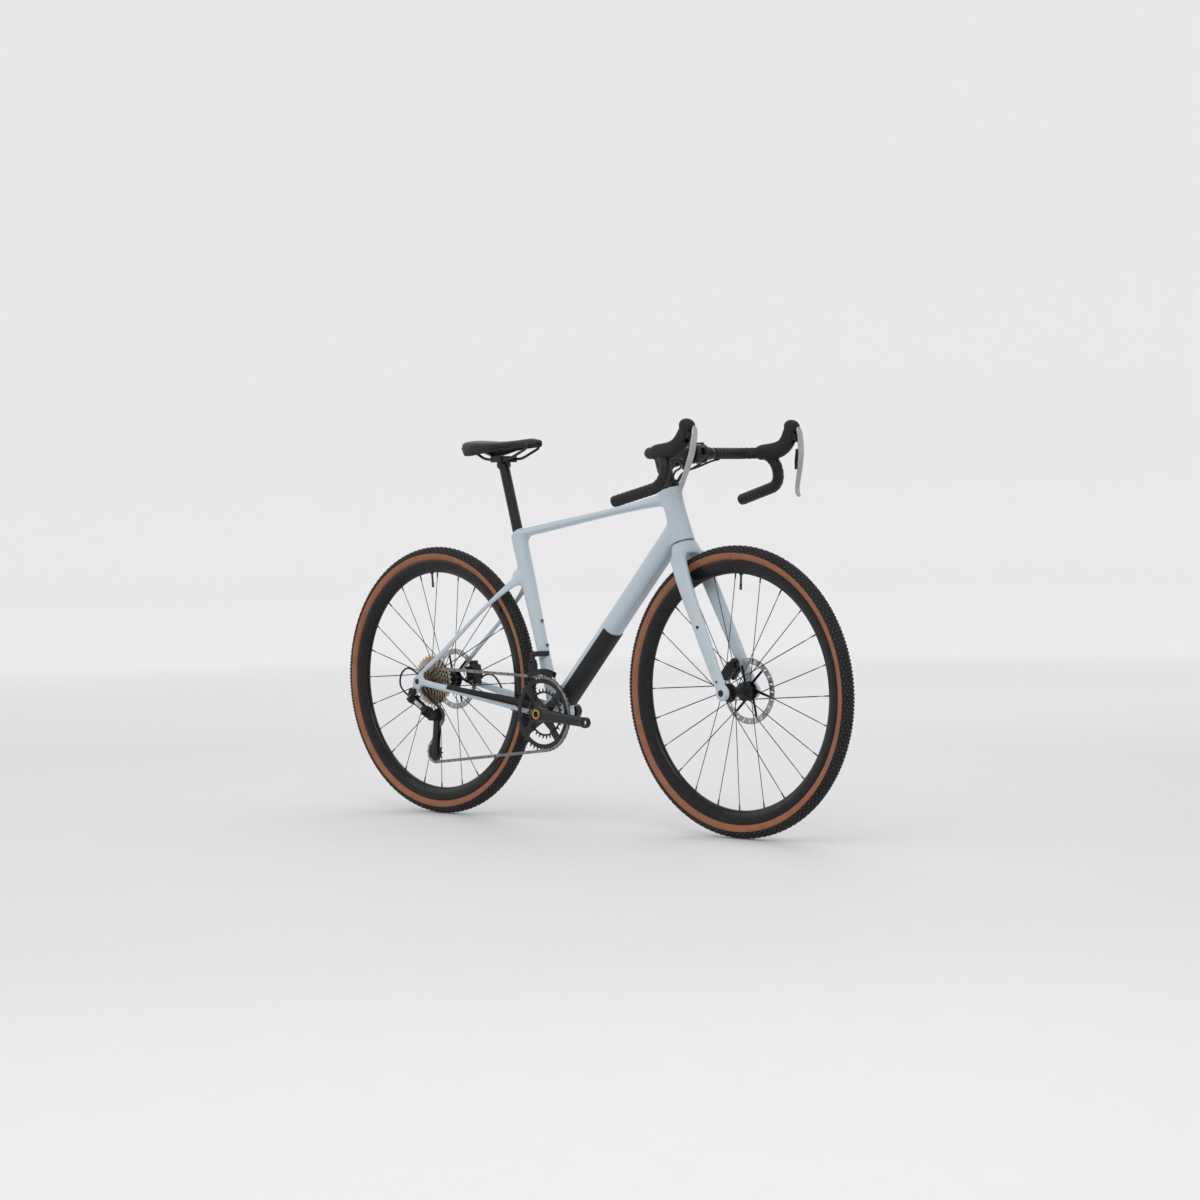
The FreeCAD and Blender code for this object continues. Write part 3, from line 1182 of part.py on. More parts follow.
def chainLoop(angle):
    """The stations that the chain passes, each with its centre, tooth count and sense of turn."""
    ringCentre = bracket - acrossY * d.bigRingPlace
    cogCentre = rearAxle - acrossY * d.usedCogPlace
    teeth = cogTeeth[int(d.usedCog)]
    return [
        (ringCentre, d.bigRingTeeth, 1),
        (tensionCentre(angle), d.tensionTeeth, 1),
        (guideCentre, d.guideTeeth, -1),
        (cogCentre, teeth, 1),
    ]


def tangentNormal(first, second):
    gap = Vector(second[0].x - first[0].x, 0, second[0].z - first[0].z)
    along = unit(gap)
    left = Vector(-along.z, 0, along.x)
    lift = (first[2] * pitchRadius(first[1]) - second[2] * pitchRadius(second[1])) / gap.Length
    return along * lift + left * math.sqrt(1 - lift ** 2)


def chainSpans(angle):
    """Arcs and straight runs in turn, each with its length counted in links."""
    stations = chainLoop(angle)
    count = len(stations)
    normals = [tangentNormal(stations[i], stations[(i + 1) % count]) for i in range(count)]
    spans = []
    for i, (centre, teeth, sense) in enumerate(stations):
        radius = sense * pitchRadius(teeth)
        start = normals[i - 1]
        end = normals[i]
        first = math.atan2(sense * start.z, sense * start.x)
        last = math.atan2(sense * end.z, sense * end.x)
        sweep = sense * (first - last) % (2 * math.pi)
        spans.append((sweep * teeth / (2 * math.pi), centre, abs(radius), first, -sense * sweep))
        leave = centre + end * radius
        nextCentre, nextTeeth, nextSense = stations[(i + 1) % count]
        arrive = nextCentre + end * (nextSense * pitchRadius(nextTeeth))
        spans.append(((arrive - leave).Length / d.chainPitch, leave, arrive))
    return spans


def linkTotal(angle):
    return sum(span[0] for span in chainSpans(angle))


def settledCageAngle():
    """The cage angle at which the loop holds an even number of links."""
    wanted = 2 * round(linkTotal(d.cageAngle) / 2)
    low = d.cageAngle - d.cageSearch
    high = d.cageAngle + d.cageSearch
    rising = linkTotal(high) > linkTotal(low)
    for _ in range(50):
        middle = (low + high) / 2
        if (linkTotal(middle) < wanted) == rising:
            low = middle
        else:
            high = middle
    return (low + high) / 2, wanted


def rollerPlaces(angle, total):
    spans = chainSpans(angle)
    places = []
    for link in range(total):
        left = float(link)
        for span in spans:
            if left <= span[0]:
                break
            left -= span[0]
        share = min(left / span[0], 1)
        if len(span) == 3:
            places.append(span[1] * (1 - share) + span[2] * share)
        else:
            turn = span[3] + span[4] * share
            places.append(span[1] + Vector(math.cos(turn), 0, math.sin(turn)) * span[2])
    return places


restCageAngle, linkCount = settledCageAngle()
rollers = rollerPlaces(restCageAngle, linkCount)
tension = tensionCentre(restCageAngle)
print("links", linkCount, "cage angle", round(restCageAngle, 2))


def rollerPhase(centre, teeth):
    """The angle of a roller that lies on this sprocket."""
    pitch = pitchRadius(teeth)

    def away(spot):
        return abs(math.hypot(spot.x - centre.x, spot.z - centre.z) - pitch) + abs(spot.y - centre.y)

    best = min(rollers, key=away)
    return math.atan2(best.z - centre.z, best.x - centre.x)


def linkOutline(start, along, up, half):
    length = d.chainPitch
    short = d.linkEndShare * half
    spots = (
        (-half, -short), (-short, -half), (length + short, -half), (length + half, -short),
        (length + half, short), (length + short, half), (-short, half), (-half, short),
    )
    return [start + along * x + up * z for x, z in spots]


def chainLinks():
    """Inner links carry the rollers, outer links ride on both of their sides."""
    solids = []
    for index, start in enumerate(rollers):
        end = rollers[(index + 1) % linkCount]
        along = unit(end - start)
        up = unit(acrossY.cross(along) * -1)
        side = along.cross(up)
        wide = d.linkGap + 2 * d.innerPlate
        if index % 2:
            for turn in bothSides:
                outline = linkOutline(start + side * (turn * wide / 2), along, up, d.outerHalfTall)
                solids.append(polygonPrism(outline, side * (turn * d.outerPlate)))
        else:
            outline = linkOutline(start - side * (wide / 2), along, up, d.innerHalfTall)
            block = polygonPrism(outline, side * wide)
            tall = 2 * d.innerHalfTall
            back = d.rollerRadius * d.linkMouthShare - d.rollerRadius
            far = d.chainPitch
            spots = ((back, -tall), (d.rollerRadius, 0), (back, tall), (far - back, tall),
                     (far - d.rollerRadius, 0), (far - back, -tall))
            window = [start - side * (d.linkGap / 2) + along * x + up * z for x, z in spots]
            solids.append(block.cut(polygonPrism(window, side * d.linkGap)))
    group("chain", solids)


def cassette():
    axle = rearAxle
    solids = []
    phase = rollerPhase(rearAxle - acrossY * d.usedCogPlace, cogTeeth[int(d.usedCog)])
    for index, teeth in enumerate(cogTeeth):
        centre = axle + acrossY * ((index - d.usedCog) * d.cogPitch - d.usedCogPlace)
        solids.append(sprocket(centre, teeth, phase, d.cogThick, d.cogTip, d.freehubRadius + d.runFit, True))
        if index:
            start = centre - acrossY * (d.cogThick / 2)
            back = start - acrossY * (d.cogPitch - d.cogThick)
            solids.append(tubeRing(back, start, d.spacerRing, d.freehubRadius + d.runFit))
    first = -d.usedCogPlace - d.usedCog * d.cogPitch - d.cogThick / 2
    last = first + (len(cogTeeth) - 1) * d.cogPitch + d.cogThick
    outer = axle - acrossY * (d.dropoutInner - d.sideGap)
    bore = d.axleRadius + d.runFit
    solids.append(tubeRing(axle + acrossY * first, axle + acrossY * last, d.freehubRadius, bore))
    solids.append(tubeRing(outer, axle + acrossY * first, d.lockRingRadius, bore))
    group("cassette", solids)


def crankDirection(side):
    turn = math.radians(d.crankAngle)
    return Vector(math.cos(turn), 0, math.sin(turn)) * (-side)


def crankArm(side):
    along = crankDirection(side)
    hub = bracket + acrossY * (side * d.crankHubPlace)
    eye = bracket + along * d.crankLength + acrossY * (side * d.crankEyePlace)
    out = acrossY * side
    hubShape = rod(hub, hub + out * d.crankHubWidth, d.crankHubRadius)
    eyeShape = rod(eye, eye + out * d.crankEyeWidth, d.crankEyeRadius)
    startMiddle = hub + out * (d.crankHubWidth / 2)
    endMiddle = eye + out * (d.crankEyeWidth / 2)
    stationShares = ((0.0, 1.15, 1.3), (0.3, 1.0, 1.15), (0.7, 0.88, 1.0), (1.0, 0.84, 0.95))
    rings = []
    for share, tallShare, thickShare in stationShares:
        place = startMiddle + (endMiddle - startMiddle) * share
        tall = d.crankHalfWide * tallShare
        rings.append(ring(place, along, d.crankHalfThick * thickShare, tall, d.boxPower))
    thread = rod(eye - out * d.overrun, eye + out * (d.crankEyeWidth + d.overrun), d.pedalThreadRadius)
    return hubShape.fuse([eyeShape, loft(rings)]).cut(thread), hub, out


def ringBoltPlaces():
    places = []
    for arm in range(int(d.spiderCount)):
        turn = math.radians(d.crankAngle) + math.pi / d.spiderCount + 2 * math.pi * arm / d.spiderCount
        places.append(Vector(math.cos(turn), 0, math.sin(turn)))
    return places


def cranks():
    bore = rod(*shellEnds(d.shellWidth * 2), d.spindleBore)
    arm, hub, out = crankArm(rightSide)
    spindle = rod(bracket + acrossY * (rightSide * d.crankHubPlace), bracket + acrossY * d.crankHubPlace,
                  d.spindleRadius)
    spiderPlace = d.bigRingPlace - d.ringSpacing / 2
    spider = []
    for way in ringBoltPlaces():
        tip = bracket + way * d.boltCircle - acrossY * (spiderPlace - d.spiderThick / 2)
        root = bracket - acrossY * (spiderPlace - d.spiderThick / 2)
        spider.append(loftPlate(root, tip, d.crankHubRadius, d.spiderHalfWide, d.spiderThick))
    neck = rod(bracket - acrossY * (spiderPlace - d.spiderThick / 2), hub, d.crankHubRadius)
    shape = arm.fuse(spider + [neck, spindle])
    boltHoles = []
    for circle in (d.boltCircle, d.innerBoltCircle):
        for way in ringBoltPlaces():
            spot = bracket + way * circle
            boltHoles.append(rod(spot - acrossY * (d.bigRingPlace + d.overrun), spot, d.ringShankRadius))
    keep("right_crank", shape.cut([bore] + boltHoles))
    leftArm, leftHub, leftOut = crankArm(leftSide)
    capStart = leftHub + leftOut * d.crankHubWidth
    cap = rod(capStart, capStart + leftOut * d.cupLip, d.crankCapRadius)
    keep("left_crank", leftArm.cut(bore).fuse(cap))


def chainRings():
    """Two toothed rings on the spider's faces, each with its own bolts into the arms."""
    rows = (
        (d.bigRingPlace, d.bigRingTeeth, d.ringBand, d.tabHalfWide, d.boltCircle),
        (d.bigRingPlace - d.ringSpacing, d.smallRingTeeth, d.smallRingBand, d.smallTabHalf, d.innerBoltCircle),
    )
    phase = rollerPhase(bracket - acrossY * d.bigRingPlace, d.bigRingTeeth)
    solids = []
    for place, teeth, band, tabHalf, circle in rows:
        centre = bracket - acrossY * place
        bore = pitchRadius(teeth) - band
        tabs = []
        holes = []
        for way in ringBoltPlaces():
            spot = centre + way * circle
            root = centre + way * (pitchRadius(teeth) - d.ringRoot - tabHalf - d.sideGap)
            face = acrossY * (d.ringThick / 2)
            tabs.append(loftPlate(spot + face, root + face, tabHalf, tabHalf, d.ringThick))
            holes.append(rod(spot - acrossY * d.overrun, spot + acrossY * d.overrun, d.ringShankRadius))
        toothed = sprocket(centre, teeth, phase, d.ringThick, d.ringTip, bore, False)
        solids.append(toothed.fuse(tabs).cut(holes))
    ringFace = acrossY * (d.ringSpacing / 2 + d.ringThick / 2)
    armFace = acrossY * (d.spiderThick / 2)
    for way in ringBoltPlaces():
        middle = bracket - acrossY * (d.bigRingPlace - d.ringSpacing / 2)
        spot = middle + way * d.boltCircle
        head = rod(spot - ringFace, spot - ringFace - acrossY * d.ringThick, d.ringBoltRadius)
        solids.append(rod(spot - ringFace, spot + armFace, d.ringShankRadius).fuse(head))
        spot = middle + way * d.innerBoltCircle
        solids.append(rod(spot + ringFace, spot - armFace, d.ringShankRadius))
    group("chainrings", solids)


# Rear derailleur. Its links lean across the cogs, so that the cage drops as it moves inwards.
slopeTurn = math.radians(d.linkSlope)
slantTurn = math.radians(d.linkSlant)
linkAlong = Vector(math.cos(slopeTurn), 0, -math.sin(slopeTurn))
pinUpright = Vector(math.sin(slopeTurn), 0, math.cos(slopeTurn))
linkPinAxis = pinUpright * math.cos(slantTurn) + acrossY * math.sin(slantTurn)
linkSide = acrossY * math.cos(slantTurn) - pinUpright * math.sin(slantTurn)
knuckleOut = d.usedCogPlace + d.cageGap + d.cagePlateThick + d.hingeGap
yokeHalf = d.linkHalfTall + d.hingeGap + d.linkThick


def linkPivot(far, outer):
    """A pivot of the parallelogram, at the fixed or the moving knuckle."""
    moving = guideCentre - linkAlong * (d.knuckleRadius + d.linkEyeRadius + d.hingeGap)
    place = moving if far else moving - linkAlong * d.linkLength
    depth = knuckleOut + d.linkEyeRadius * math.cos(slantTurn) + yokeHalf * math.sin(slantTurn) + d.hingeGap
    place = Vector(place.x, -depth, place.z)
    return place - linkSide * d.linkSpacing if outer else place


def derailleurLink(outer):
    start = linkPivot(False, outer)
    end = linkPivot(True, outer)
    half = linkPinAxis * d.linkHalfTall
    web = slab((start + end) / 2, linkAlong, linkPinAxis, d.linkLength, 2 * d.linkHalfTall, d.linkThick)
    eyes = [rod(place - half, place + half, d.linkEyeRadius) for place in (start, end)]
    reach = linkPinAxis * (d.linkHalfTall + d.overrun)
    holes = [rod(place - reach, place + reach, d.linkPinRadius + d.linkPinFit) for place in (start, end)]
    return web.fuse(eyes).cut(holes)


def knuckleYoke(far):
    """Two ears above and below the links, with a pin through each link."""
    solids = []
    low = d.linkHalfTall + d.hingeGap
    inner = linkPivot(far, False)
    outer = linkPivot(far, True)
    for turn in bothSides:
        start = linkPinAxis * (turn * low)
        out = linkPinAxis * (turn * d.linkThick)
        for place in (inner, outer):
            solids.append(rod(place + start, place + start + out, d.linkEyeRadius))
        middle = (inner + outer + out) / 2 + start
        solids.append(slab(middle, linkSide, linkPinAxis, d.linkSpacing, d.linkThick, 2 * d.linkEyeRadius))
    reach = linkPinAxis * yokeHalf
    for place in (inner, outer):
        solids.append(rod(place - reach, place + reach, d.linkPinRadius))
    return solids


def yokeSlabs(middle, reach, long, wide):
    """Plates that carry both ears on to the rest of a knuckle."""
    level = d.linkHalfTall + d.hingeGap + d.linkThick / 2
    solids = []
    for turn in bothSides:
        place = middle + linkAlong * reach + linkPinAxis * (turn * level)
        solids.append(slab(place, linkAlong, linkPinAxis, long, d.linkThick, wide))
    return solids


def rearDerailleur(hanger):
    eye = hangerPlace() - acrossY * (d.dropoutInner + d.dropoutThick + d.hangerThick)
    barrel = rod(eye, eye - acrossY * d.mountWidth, d.mountRadius)
    bolt = rod(eye + acrossY * d.hangerThick, eye, d.hangerBoltRadius)
    fixed = (linkPivot(False, False) + linkPivot(False, True)) / 2
    back = fixed - linkAlong * (d.linkEyeRadius + d.linkThick)
    wide = d.linkSpacing + d.linkThick
    wall = slab(back, linkPinAxis, linkAlong, 2 * yokeHalf, d.linkThick, wide)
    bridgeLong = d.linkEyeRadius * d.bridgeLongShare + d.linkThick
    bridges = yokeSlabs(fixed, -d.linkEyeRadius * d.bridgeBackShare, bridgeLong, wide)
    armStart = eye - acrossY * (d.mountWidth / 2)
    armEnd = back - linkSide * (d.linkSpacing / 2)
    arm = slab((armStart + armEnd) / 2, armEnd - armStart, acrossY, (armEnd - armStart).Length, d.mountWidth,
               d.mountRadius * d.mountArmShare)
    body = barrel.fuse([arm, wall] + bridges + knuckleYoke(False))
    body = body.cut([hanger, linkRoom(False, False), linkRoom(False, True)])
    keep("rear_derailleur_knuckle", largest(body.fuse(bolt), 1)[0])
    keep("rd_outer_link", derailleurLink(True))
    keep("rd_inner_link", derailleurLink(False))
    pivot = Vector(guideCentre.x, -knuckleOut, guideCentre.z)
    drum = rod(pivot, pivot - acrossY * d.knuckleWidth, d.knuckleRadius)
    moving = (linkPivot(True, False) + linkPivot(True, True)) / 2
    cheekLong = d.linkEyeRadius * d.cheekLongShare
    cheeks = yokeSlabs(moving, d.linkEyeRadius * d.cheekAheadShare, cheekLong, d.linkSpacing)
    tiePlace = moving + linkAlong * (d.linkEyeRadius * d.tieAheadShare + d.hingeGap)
    tie = slab(tiePlace, linkPinAxis, linkAlong, 2 * yokeHalf, d.linkThick, d.linkSpacing)
    shaft = rod(pivot, pivot + acrossY * (2 * (d.cageGap + d.cagePlateThick)), d.pulleyBore)
    knuckle = drum.fuse(cheeks + [tie] + knuckleYoke(True)).cut([linkRoom(True, False), linkRoom(True, True)])
    keep("rd_p_knuckle", largest(knuckle.fuse(shaft), 1)[0])


def linkRoom(far, outer):
    """The room that a link's eye turns in, left clear around its pin."""
    place = linkPivot(far, outer)
    half = linkPinAxis * (d.linkHalfTall + d.hingeGap)
    pin = rod(place - half, place + half, d.linkPinRadius)
    return rod(place - half, place + half, d.linkEyeRadius + d.hingeGap).cut(pin)


def cagePulleys():
    plates = []
    for turn in bothSides:
        face = d.cageGap if turn == rightSide else d.cageGap - d.hingeGap
        start = guideCentre + acrossY * (turn * face)
        end = tension + acrossY * (turn * face)
        out = acrossY * (turn * d.cagePlateThick)
        side = unit(end - start).cross(acrossY)
        half = side * d.cageHalfWide
        web = polygonPrism([start + half, end + half, end - half, start - half], out)
        eyeRadius = d.cageHalfWide * d.cageEyeShare
        plates.append(rod(start, start + out, eyeRadius).fuse([web, rod(end, end + out, eyeRadius)]))
    hole = rod(guideCentre - acrossY * d.overrun, guideCentre + acrossY * d.overrun, d.pulleyBore + d.runFit)
    reach = acrossY * (d.cageGap + d.cagePlateThick)
    bolt = rod(tension - reach, tension + reach, d.pulleyBore)
    keep("rd_cage", plates[0].fuse([plates[1], bolt]).cut(hole))
    rows = (("guide_pulley", guideCentre, d.guideTeeth), ("tension_pulley", tension, d.tensionTeeth))
    for label, centre, teeth in rows:
        phase = rollerPhase(centre, teeth)
        keep(label, sprocket(centre, teeth, phase, d.pulleyThick, d.cogTip, d.pulleyBore + d.runFit, True))


# Front derailleur. One link swings the cage between the two rings.
frontPivot = bracket + Vector(-d.frontPivotBack, -d.bigRingPlace, d.frontPivotRise)
frontHinge = frontPivot + upZ * d.frontLinkLength


def pinRod(place, half, radius):
    return rod(place - aheadX * half, place + aheadX * half, radius)


def frontEars(place):
    """Two ears fore and aft of the link, with the pin that they hold."""
    solids = [pinRod(place, d.frontLinkHalf + d.hingeGap + d.frontEarThick, d.frontPinRadius)]
    for turn in bothSides:
        start = place + aheadX * (turn * (d.frontLinkHalf + d.hingeGap))
        solids.append(rod(start, start + aheadX * (turn * d.frontEarThick), d.frontEyeRadius))
    return solids


def frontDerailleur(front):
    long = 2 * (d.frontLinkHalf + d.hingeGap + d.frontEarThick)
    thick = 2 * d.frontEyeRadius
    middle = (frontPivot + frontHinge) / 2
    web = slab(middle, upZ, aheadX, d.frontLinkLength, 2 * d.frontLinkHalf, d.frontLinkThick)
    eyes = [pinRod(place, d.frontLinkHalf, d.frontEyeRadius) for place in (frontPivot, frontHinge)]
    holes = [pinRod(place, d.frontLinkHalf + d.overrun, d.frontPinRadius + d.linkPinFit)
             for place in (frontPivot, frontHinge)]
    keep("fd_link", web.fuse(eyes).cut(holes))
    room = d.frontEyeRadius + d.frontArmGap
    reach = d.bigRingPlace - room
    lift = d.frontArmTall / 2 - d.frontEyeRadius
    armMiddle = frontHinge + acrossY * (room + reach / 2) + upZ * lift
    arm = slab(armMiddle, acrossY, upZ, reach, d.frontArmTall, long)
    cheeks = []
    for turn in bothSides:
        place = frontHinge + aheadX * (turn * (long - d.frontEarThick) / 2) + acrossY * (room / 2)
        cheeks.append(slab(place, acrossY, upZ, room, thick, d.frontEarThick))
    keep("front_derailleur_body", largest(arm.fuse(cheeks + frontEars(frontHinge)).cut(front), 1)[0])
    keep("fd_cage", frontCage(long))


def frontCage(long):
    """Two curved plates over the chain, bridged above it and hung from the link."""
    inner = pitchRadius(d.bigRingTeeth) + d.outerHalfTall + d.frontCageRoom
    outer = inner + d.frontCageTall
    middle = (d.frontCageStart + d.frontCageEnd) / 2
    turns = [math.radians(angle) for angle in (d.frontCageStart, middle, d.frontCageEnd)]
    parts = []
    for turn in bothSides:
        centre = bracket + acrossY * (turn * d.frontCageHalf - d.bigRingPlace)
        low = [centre + Vector(math.cos(a), 0, math.sin(a)) * inner for a in turns]
        high = [centre + Vector(math.cos(a), 0, math.sin(a)) * outer for a in turns]
        edges = [
            Part.Arc(*low).toShape(), Part.LineSegment(low[-1], high[-1]).toShape(),
            Part.Arc(*reversed(high)).toShape(), Part.LineSegment(high[0], low[0]).toShape(),
        ]
        parts.append(Part.Face(Part.Wire(edges)).extrude(acrossY * (turn * d.frontCageThick)))
    wide = 2 * (d.frontCageHalf + d.frontCageThick)
    top = frontPivot.z - d.frontEyeRadius - d.hingeGap
    low = bracket.z + (inner + outer) / 2
    bridge = slab(Vector(frontPivot.x, frontPivot.y, (top + low) / 2), upZ, aheadX, top - low, long, wide)
    parts.append(bridge)
    for turn in bothSides:
        place = frontPivot + aheadX * (turn * (long - d.frontEarThick) / 2) - upZ * d.frontEyeRadius
        parts.append(slab(place, upZ, aheadX, 2 * d.frontEyeRadius, d.frontEarThick, 2 * d.frontEyeRadius))
    return parts[0].fuse(parts[1:] + frontEars(frontPivot))


# Seat

postTop = bracket + seatUp * d.postReach
railLevel = postTop + upZ * (d.postHeadRadius + d.railRadius)
saddleNose = postTop.x + d.saddleNoseAhead


def seatPost():
    foot = bracket + seatUp * (d.seatCutReach - d.postInsertion)
    post = rod(foot, postTop, d.postRadius)
    head = rod(postTop - acrossY * d.postHeadHalf, postTop + acrossY * d.postHeadHalf, d.postHeadRadius)
    return keep("seatpost", post.fuse(head))


def railPath(side):
    routeShares = ((-2.1, 1.0), (-1.0, 0.0), (1.0, 0.0), (2.35, 1.0))
    points = []
    for aheadShare, riseShare in routeShares:
        reach = d.railStraightHalf * aheadShare
        points.append(railLevel + Vector(reach, side * d.railHalfSpread, d.railRise * riseShare))
    return roundedPath(points, (d.railBend, d.railBend))


saddleShares = (
    (0.0, 0.5, 0.955, 0.5), (0.05, 0.8, 0.985, 0.8), (0.2, 1.0, 1.0, 1.0), (0.4, 0.8, 0.98, 1.0),
    (0.6, 0.42, 0.965, 0.95), (0.84, 0.3, 0.965, 0.85), (0.96, 0.25, 0.95, 0.75), (1.0, 0.14, 0.925, 0.5),
)
saddleArcShares = (
    ((0.84, 0.0), (1.0, 0.42), (0.86, 0.8)),
    ((0.86, 0.8), (0.55, 0.97), (0.16, 1.0)),
)
saddleBaseShare = saddleArcShares[0][0][0]
saddleCrestShare = saddleArcShares[1][2][0]


def saddleSection(share, halfShare, topShare, deepShare):
    """One cross-section: flat below, drawn-in sides, a crown on each side and a channel between."""
    x = saddleNose - d.saddleLength * (1 - share)
    half = d.saddleHalfWide * halfShare
    top = postTop.z + d.saddleTop * topShare
    low = top - d.saddleDeep * deepShare

    def at(wideShare, tallShare, drop=0):
        return Vector(x, half * wideShare, low + (top - low) * tallShare - drop)

    edges = [Part.LineSegment(at(-saddleBaseShare, 0), at(saddleBaseShare, 0)).toShape()]
    for row in saddleArcShares:
        edges.append(Part.Arc(*[at(*spot) for spot in row]).toShape())
    channelDrop = min(d.saddleChannel, half * d.channelShare)
    edges.append(Part.Arc(at(saddleCrestShare, 1), at(0, 1, channelDrop), at(-saddleCrestShare, 1)).toShape())
    for row in reversed(saddleArcShares):
        edges.append(Part.Arc(*[at(-wide, tall) for wide, tall in reversed(row)]).toShape())
    return Part.Wire(edges)


def saddle():
    cover = Part.makeLoft([saddleSection(*station) for station in saddleShares], True, False)
    keep("saddle_cover", cover)
    wires = []
    for share, halfShare, topShare, deepShare in saddleShares:
        x = saddleNose - d.saddleLength * (1 - share)
        half = d.saddleHalfWide * halfShare * saddleBaseShare
        low = postTop.z + d.saddleTop * topShare - d.saddleDeep * deepShare
        high = low + d.saddleShellThick
        corners = [Vector(x, -half, low), Vector(x, half, low), Vector(x, half, high), Vector(x, -half, high)]
        for corner in corners:
            corner.z -= d.saddleShellThick
        wires.append(Part.makePolygon(corners + corners[:1]))
    shell = Part.makeLoft(wires, True, True).cut(cover)
    rails = [tube(railPath(side), d.railRadius).cut(cover) for side in bothSides]
    keep("saddle_base", largest(shell.fuse(rails), 1)[0])


def saddleClamp(post):
    long = 2 * d.clampHalfLength
    wide = 2 * (d.railHalfSpread + d.railRadius + d.clampEdge)
    tall = d.clampHalfTall - d.clampGap
    grooves = []
    for side in bothSides:
        reach = aheadX * (d.clampHalfLength + d.overrun)
        middle = railLevel + acrossY * (side * d.railHalfSpread)
        grooves.append(rod(middle - reach, middle + reach, d.railRadius + d.clampFit))
    bolts = []
    for turn in bothSides:
        reach = d.clampHalfLength * d.clampBoltShare
        foot = railLevel + aheadX * (turn * reach) - upZ * (d.clampHalfTall + d.clampBoltRadius)
        shank = rod(foot, foot + upZ * (2 * d.clampHalfTall + d.clampBoltRadius), d.clampBoltRadius)
        headHalf = upZ * d.clampBoltRadius
        bolts.append(shank.fuse(rod(foot - headHalf, foot + headHalf, 2 * d.clampBoltRadius)))
    halves = []
    for turn in bothSides:
        centre = railLevel + upZ * (turn * (d.clampGap + tall / 2))
        halves.append(slab(centre, aheadX, upZ, long, tall, wide).cut(grooves + bolts + [post]))
    group("saddle_clamp", halves + [bolt.cut(post) for bolt in bolts])


# Hoses held by the frame, along hand-picked points
rearHoseRoute = ((176, 55, 330), (160, 56, 352), (138, 58, 366), (112, 58, 366), (96, 57, 357))
shiftHousingRoute = (
    (0, -75, 366), (-32, -76.5, 389), (-60, -79, 379), (-70, -82, 354), (-60, -85, 328), (-33, -84, 313),
)


def frameHoses(blockers):
    tubes = []
    for route in (rearHoseRoute, shiftHousingRoute):
        points = [Vector(*spot) for spot in route]
        tubes += largest(tube(cordPath(points), d.hoseRadius).cut(blockers), 1)
    group("frame_hoses", tubes)


# Build
front = frontTriangle()
lowerStays, upperStays = rearTriangle(front)
frameGuards(front, lowerStays)
frameBearings()
hanger = frameFittings()
forkBody = forkShape()
hoseHoles = steeringHoses()
steerStack(hoseHoles)
stemShapes()
bar = handlebar()
covers = leverMount(bar)
barTape(covers + hoseHoles)
leverSet(rightSide, "right")
leverSet(leftSide, "left")
wheel("front", frontAxle, ("forkInner - sideGap", "forkInner - sideGap"),
      ("frontFlangeRight", "frontFlangeLeft"), "frontRotorPlace", d.frontValveAngle)
wheel("rear", rearAxle, ("rearHubRight", "dropoutInner - sideGap"),
      ("rearFlangeRight", "rearFlangeLeft"), "rearRotorPlace", d.rearValveAngle)
thruAxle("front_thru_axle", frontAxle, "(forkInner + forkEndThick)", "(forkInner + forkEndThick)")
thruAxle("rear_thru_axle", rearAxle, "(dropoutInner + dropoutThick)", "(dropoutInner + dropoutThick)")
chainLinks()
cassette()
cranks()
chainRings()
rearDerailleur(hanger)
cagePulleys()
frontDerailleur(front)
caliper("front_caliper", frontAxle, d.frontRotorPlace, d.frontCaliperAngle, [forkBody])
caliper("rear_caliper", rearAxle, d.rearRotorPlace, d.rearCaliperAngle, [lowerStays, upperStays])
hoseEnds = [nodes[name].Shape for name in ("rear_caliper", "rear_derailleur_knuckle")]
frameHoses([lowerStays, upperStays] + hoseEnds)
post = seatPost()
saddle()
saddleClamp(post)
doc.recompute()

for item in doc.Objects:
    if "Invalid" in item.State or "Error" in item.State:
        raise RuntimeError(f"{item.Label} failed: {item.State}")
for label, item in nodes.items():
    if item.Shape.isNull() or not item.Shape.isValid():
        raise RuntimeError(f"{label} has no valid shape")
os.makedirs("parts", exist_ok=True)
for label, item in nodes.items():
    item.Shape.exportStep(f"parts/{label}.step")
print(len(nodes), "nodes written")
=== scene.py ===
import bpy
import math
from mathutils import Matrix, Vector


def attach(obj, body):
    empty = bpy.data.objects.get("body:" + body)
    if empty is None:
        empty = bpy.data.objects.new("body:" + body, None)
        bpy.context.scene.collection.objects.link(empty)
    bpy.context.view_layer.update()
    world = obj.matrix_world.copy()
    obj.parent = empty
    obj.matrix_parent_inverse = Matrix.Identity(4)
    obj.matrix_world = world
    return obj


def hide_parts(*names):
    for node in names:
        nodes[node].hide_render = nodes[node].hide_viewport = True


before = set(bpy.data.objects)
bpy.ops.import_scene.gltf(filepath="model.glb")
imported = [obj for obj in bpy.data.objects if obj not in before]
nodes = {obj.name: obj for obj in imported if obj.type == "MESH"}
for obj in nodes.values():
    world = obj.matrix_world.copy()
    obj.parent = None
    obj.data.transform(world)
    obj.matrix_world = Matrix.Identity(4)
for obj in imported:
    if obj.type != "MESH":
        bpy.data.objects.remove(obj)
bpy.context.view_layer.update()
rearAxle = Vector((0, 0, 0.351))
frontAxle = Vector((1.045, 0, 0.351))
bracket = Vector((0.43018, 0, 0.28))
acrossY = Vector((0, 1, 0))
sides = (("right", -1), ("left", 1))
wheels = (("front", frontAxle), ("rear", rearAxle))


# Handling

def rest():
    if bpy.context.object and bpy.context.object.mode != "OBJECT":
        bpy.ops.object.mode_set(mode="OBJECT")
    bpy.ops.object.select_all(action="DESELECT")


def pick(*pieces):
    rest()
    for piece in pieces:
        piece.select_set(True)
    bpy.context.view_layer.objects.active = pieces[0]
    return pieces[0]


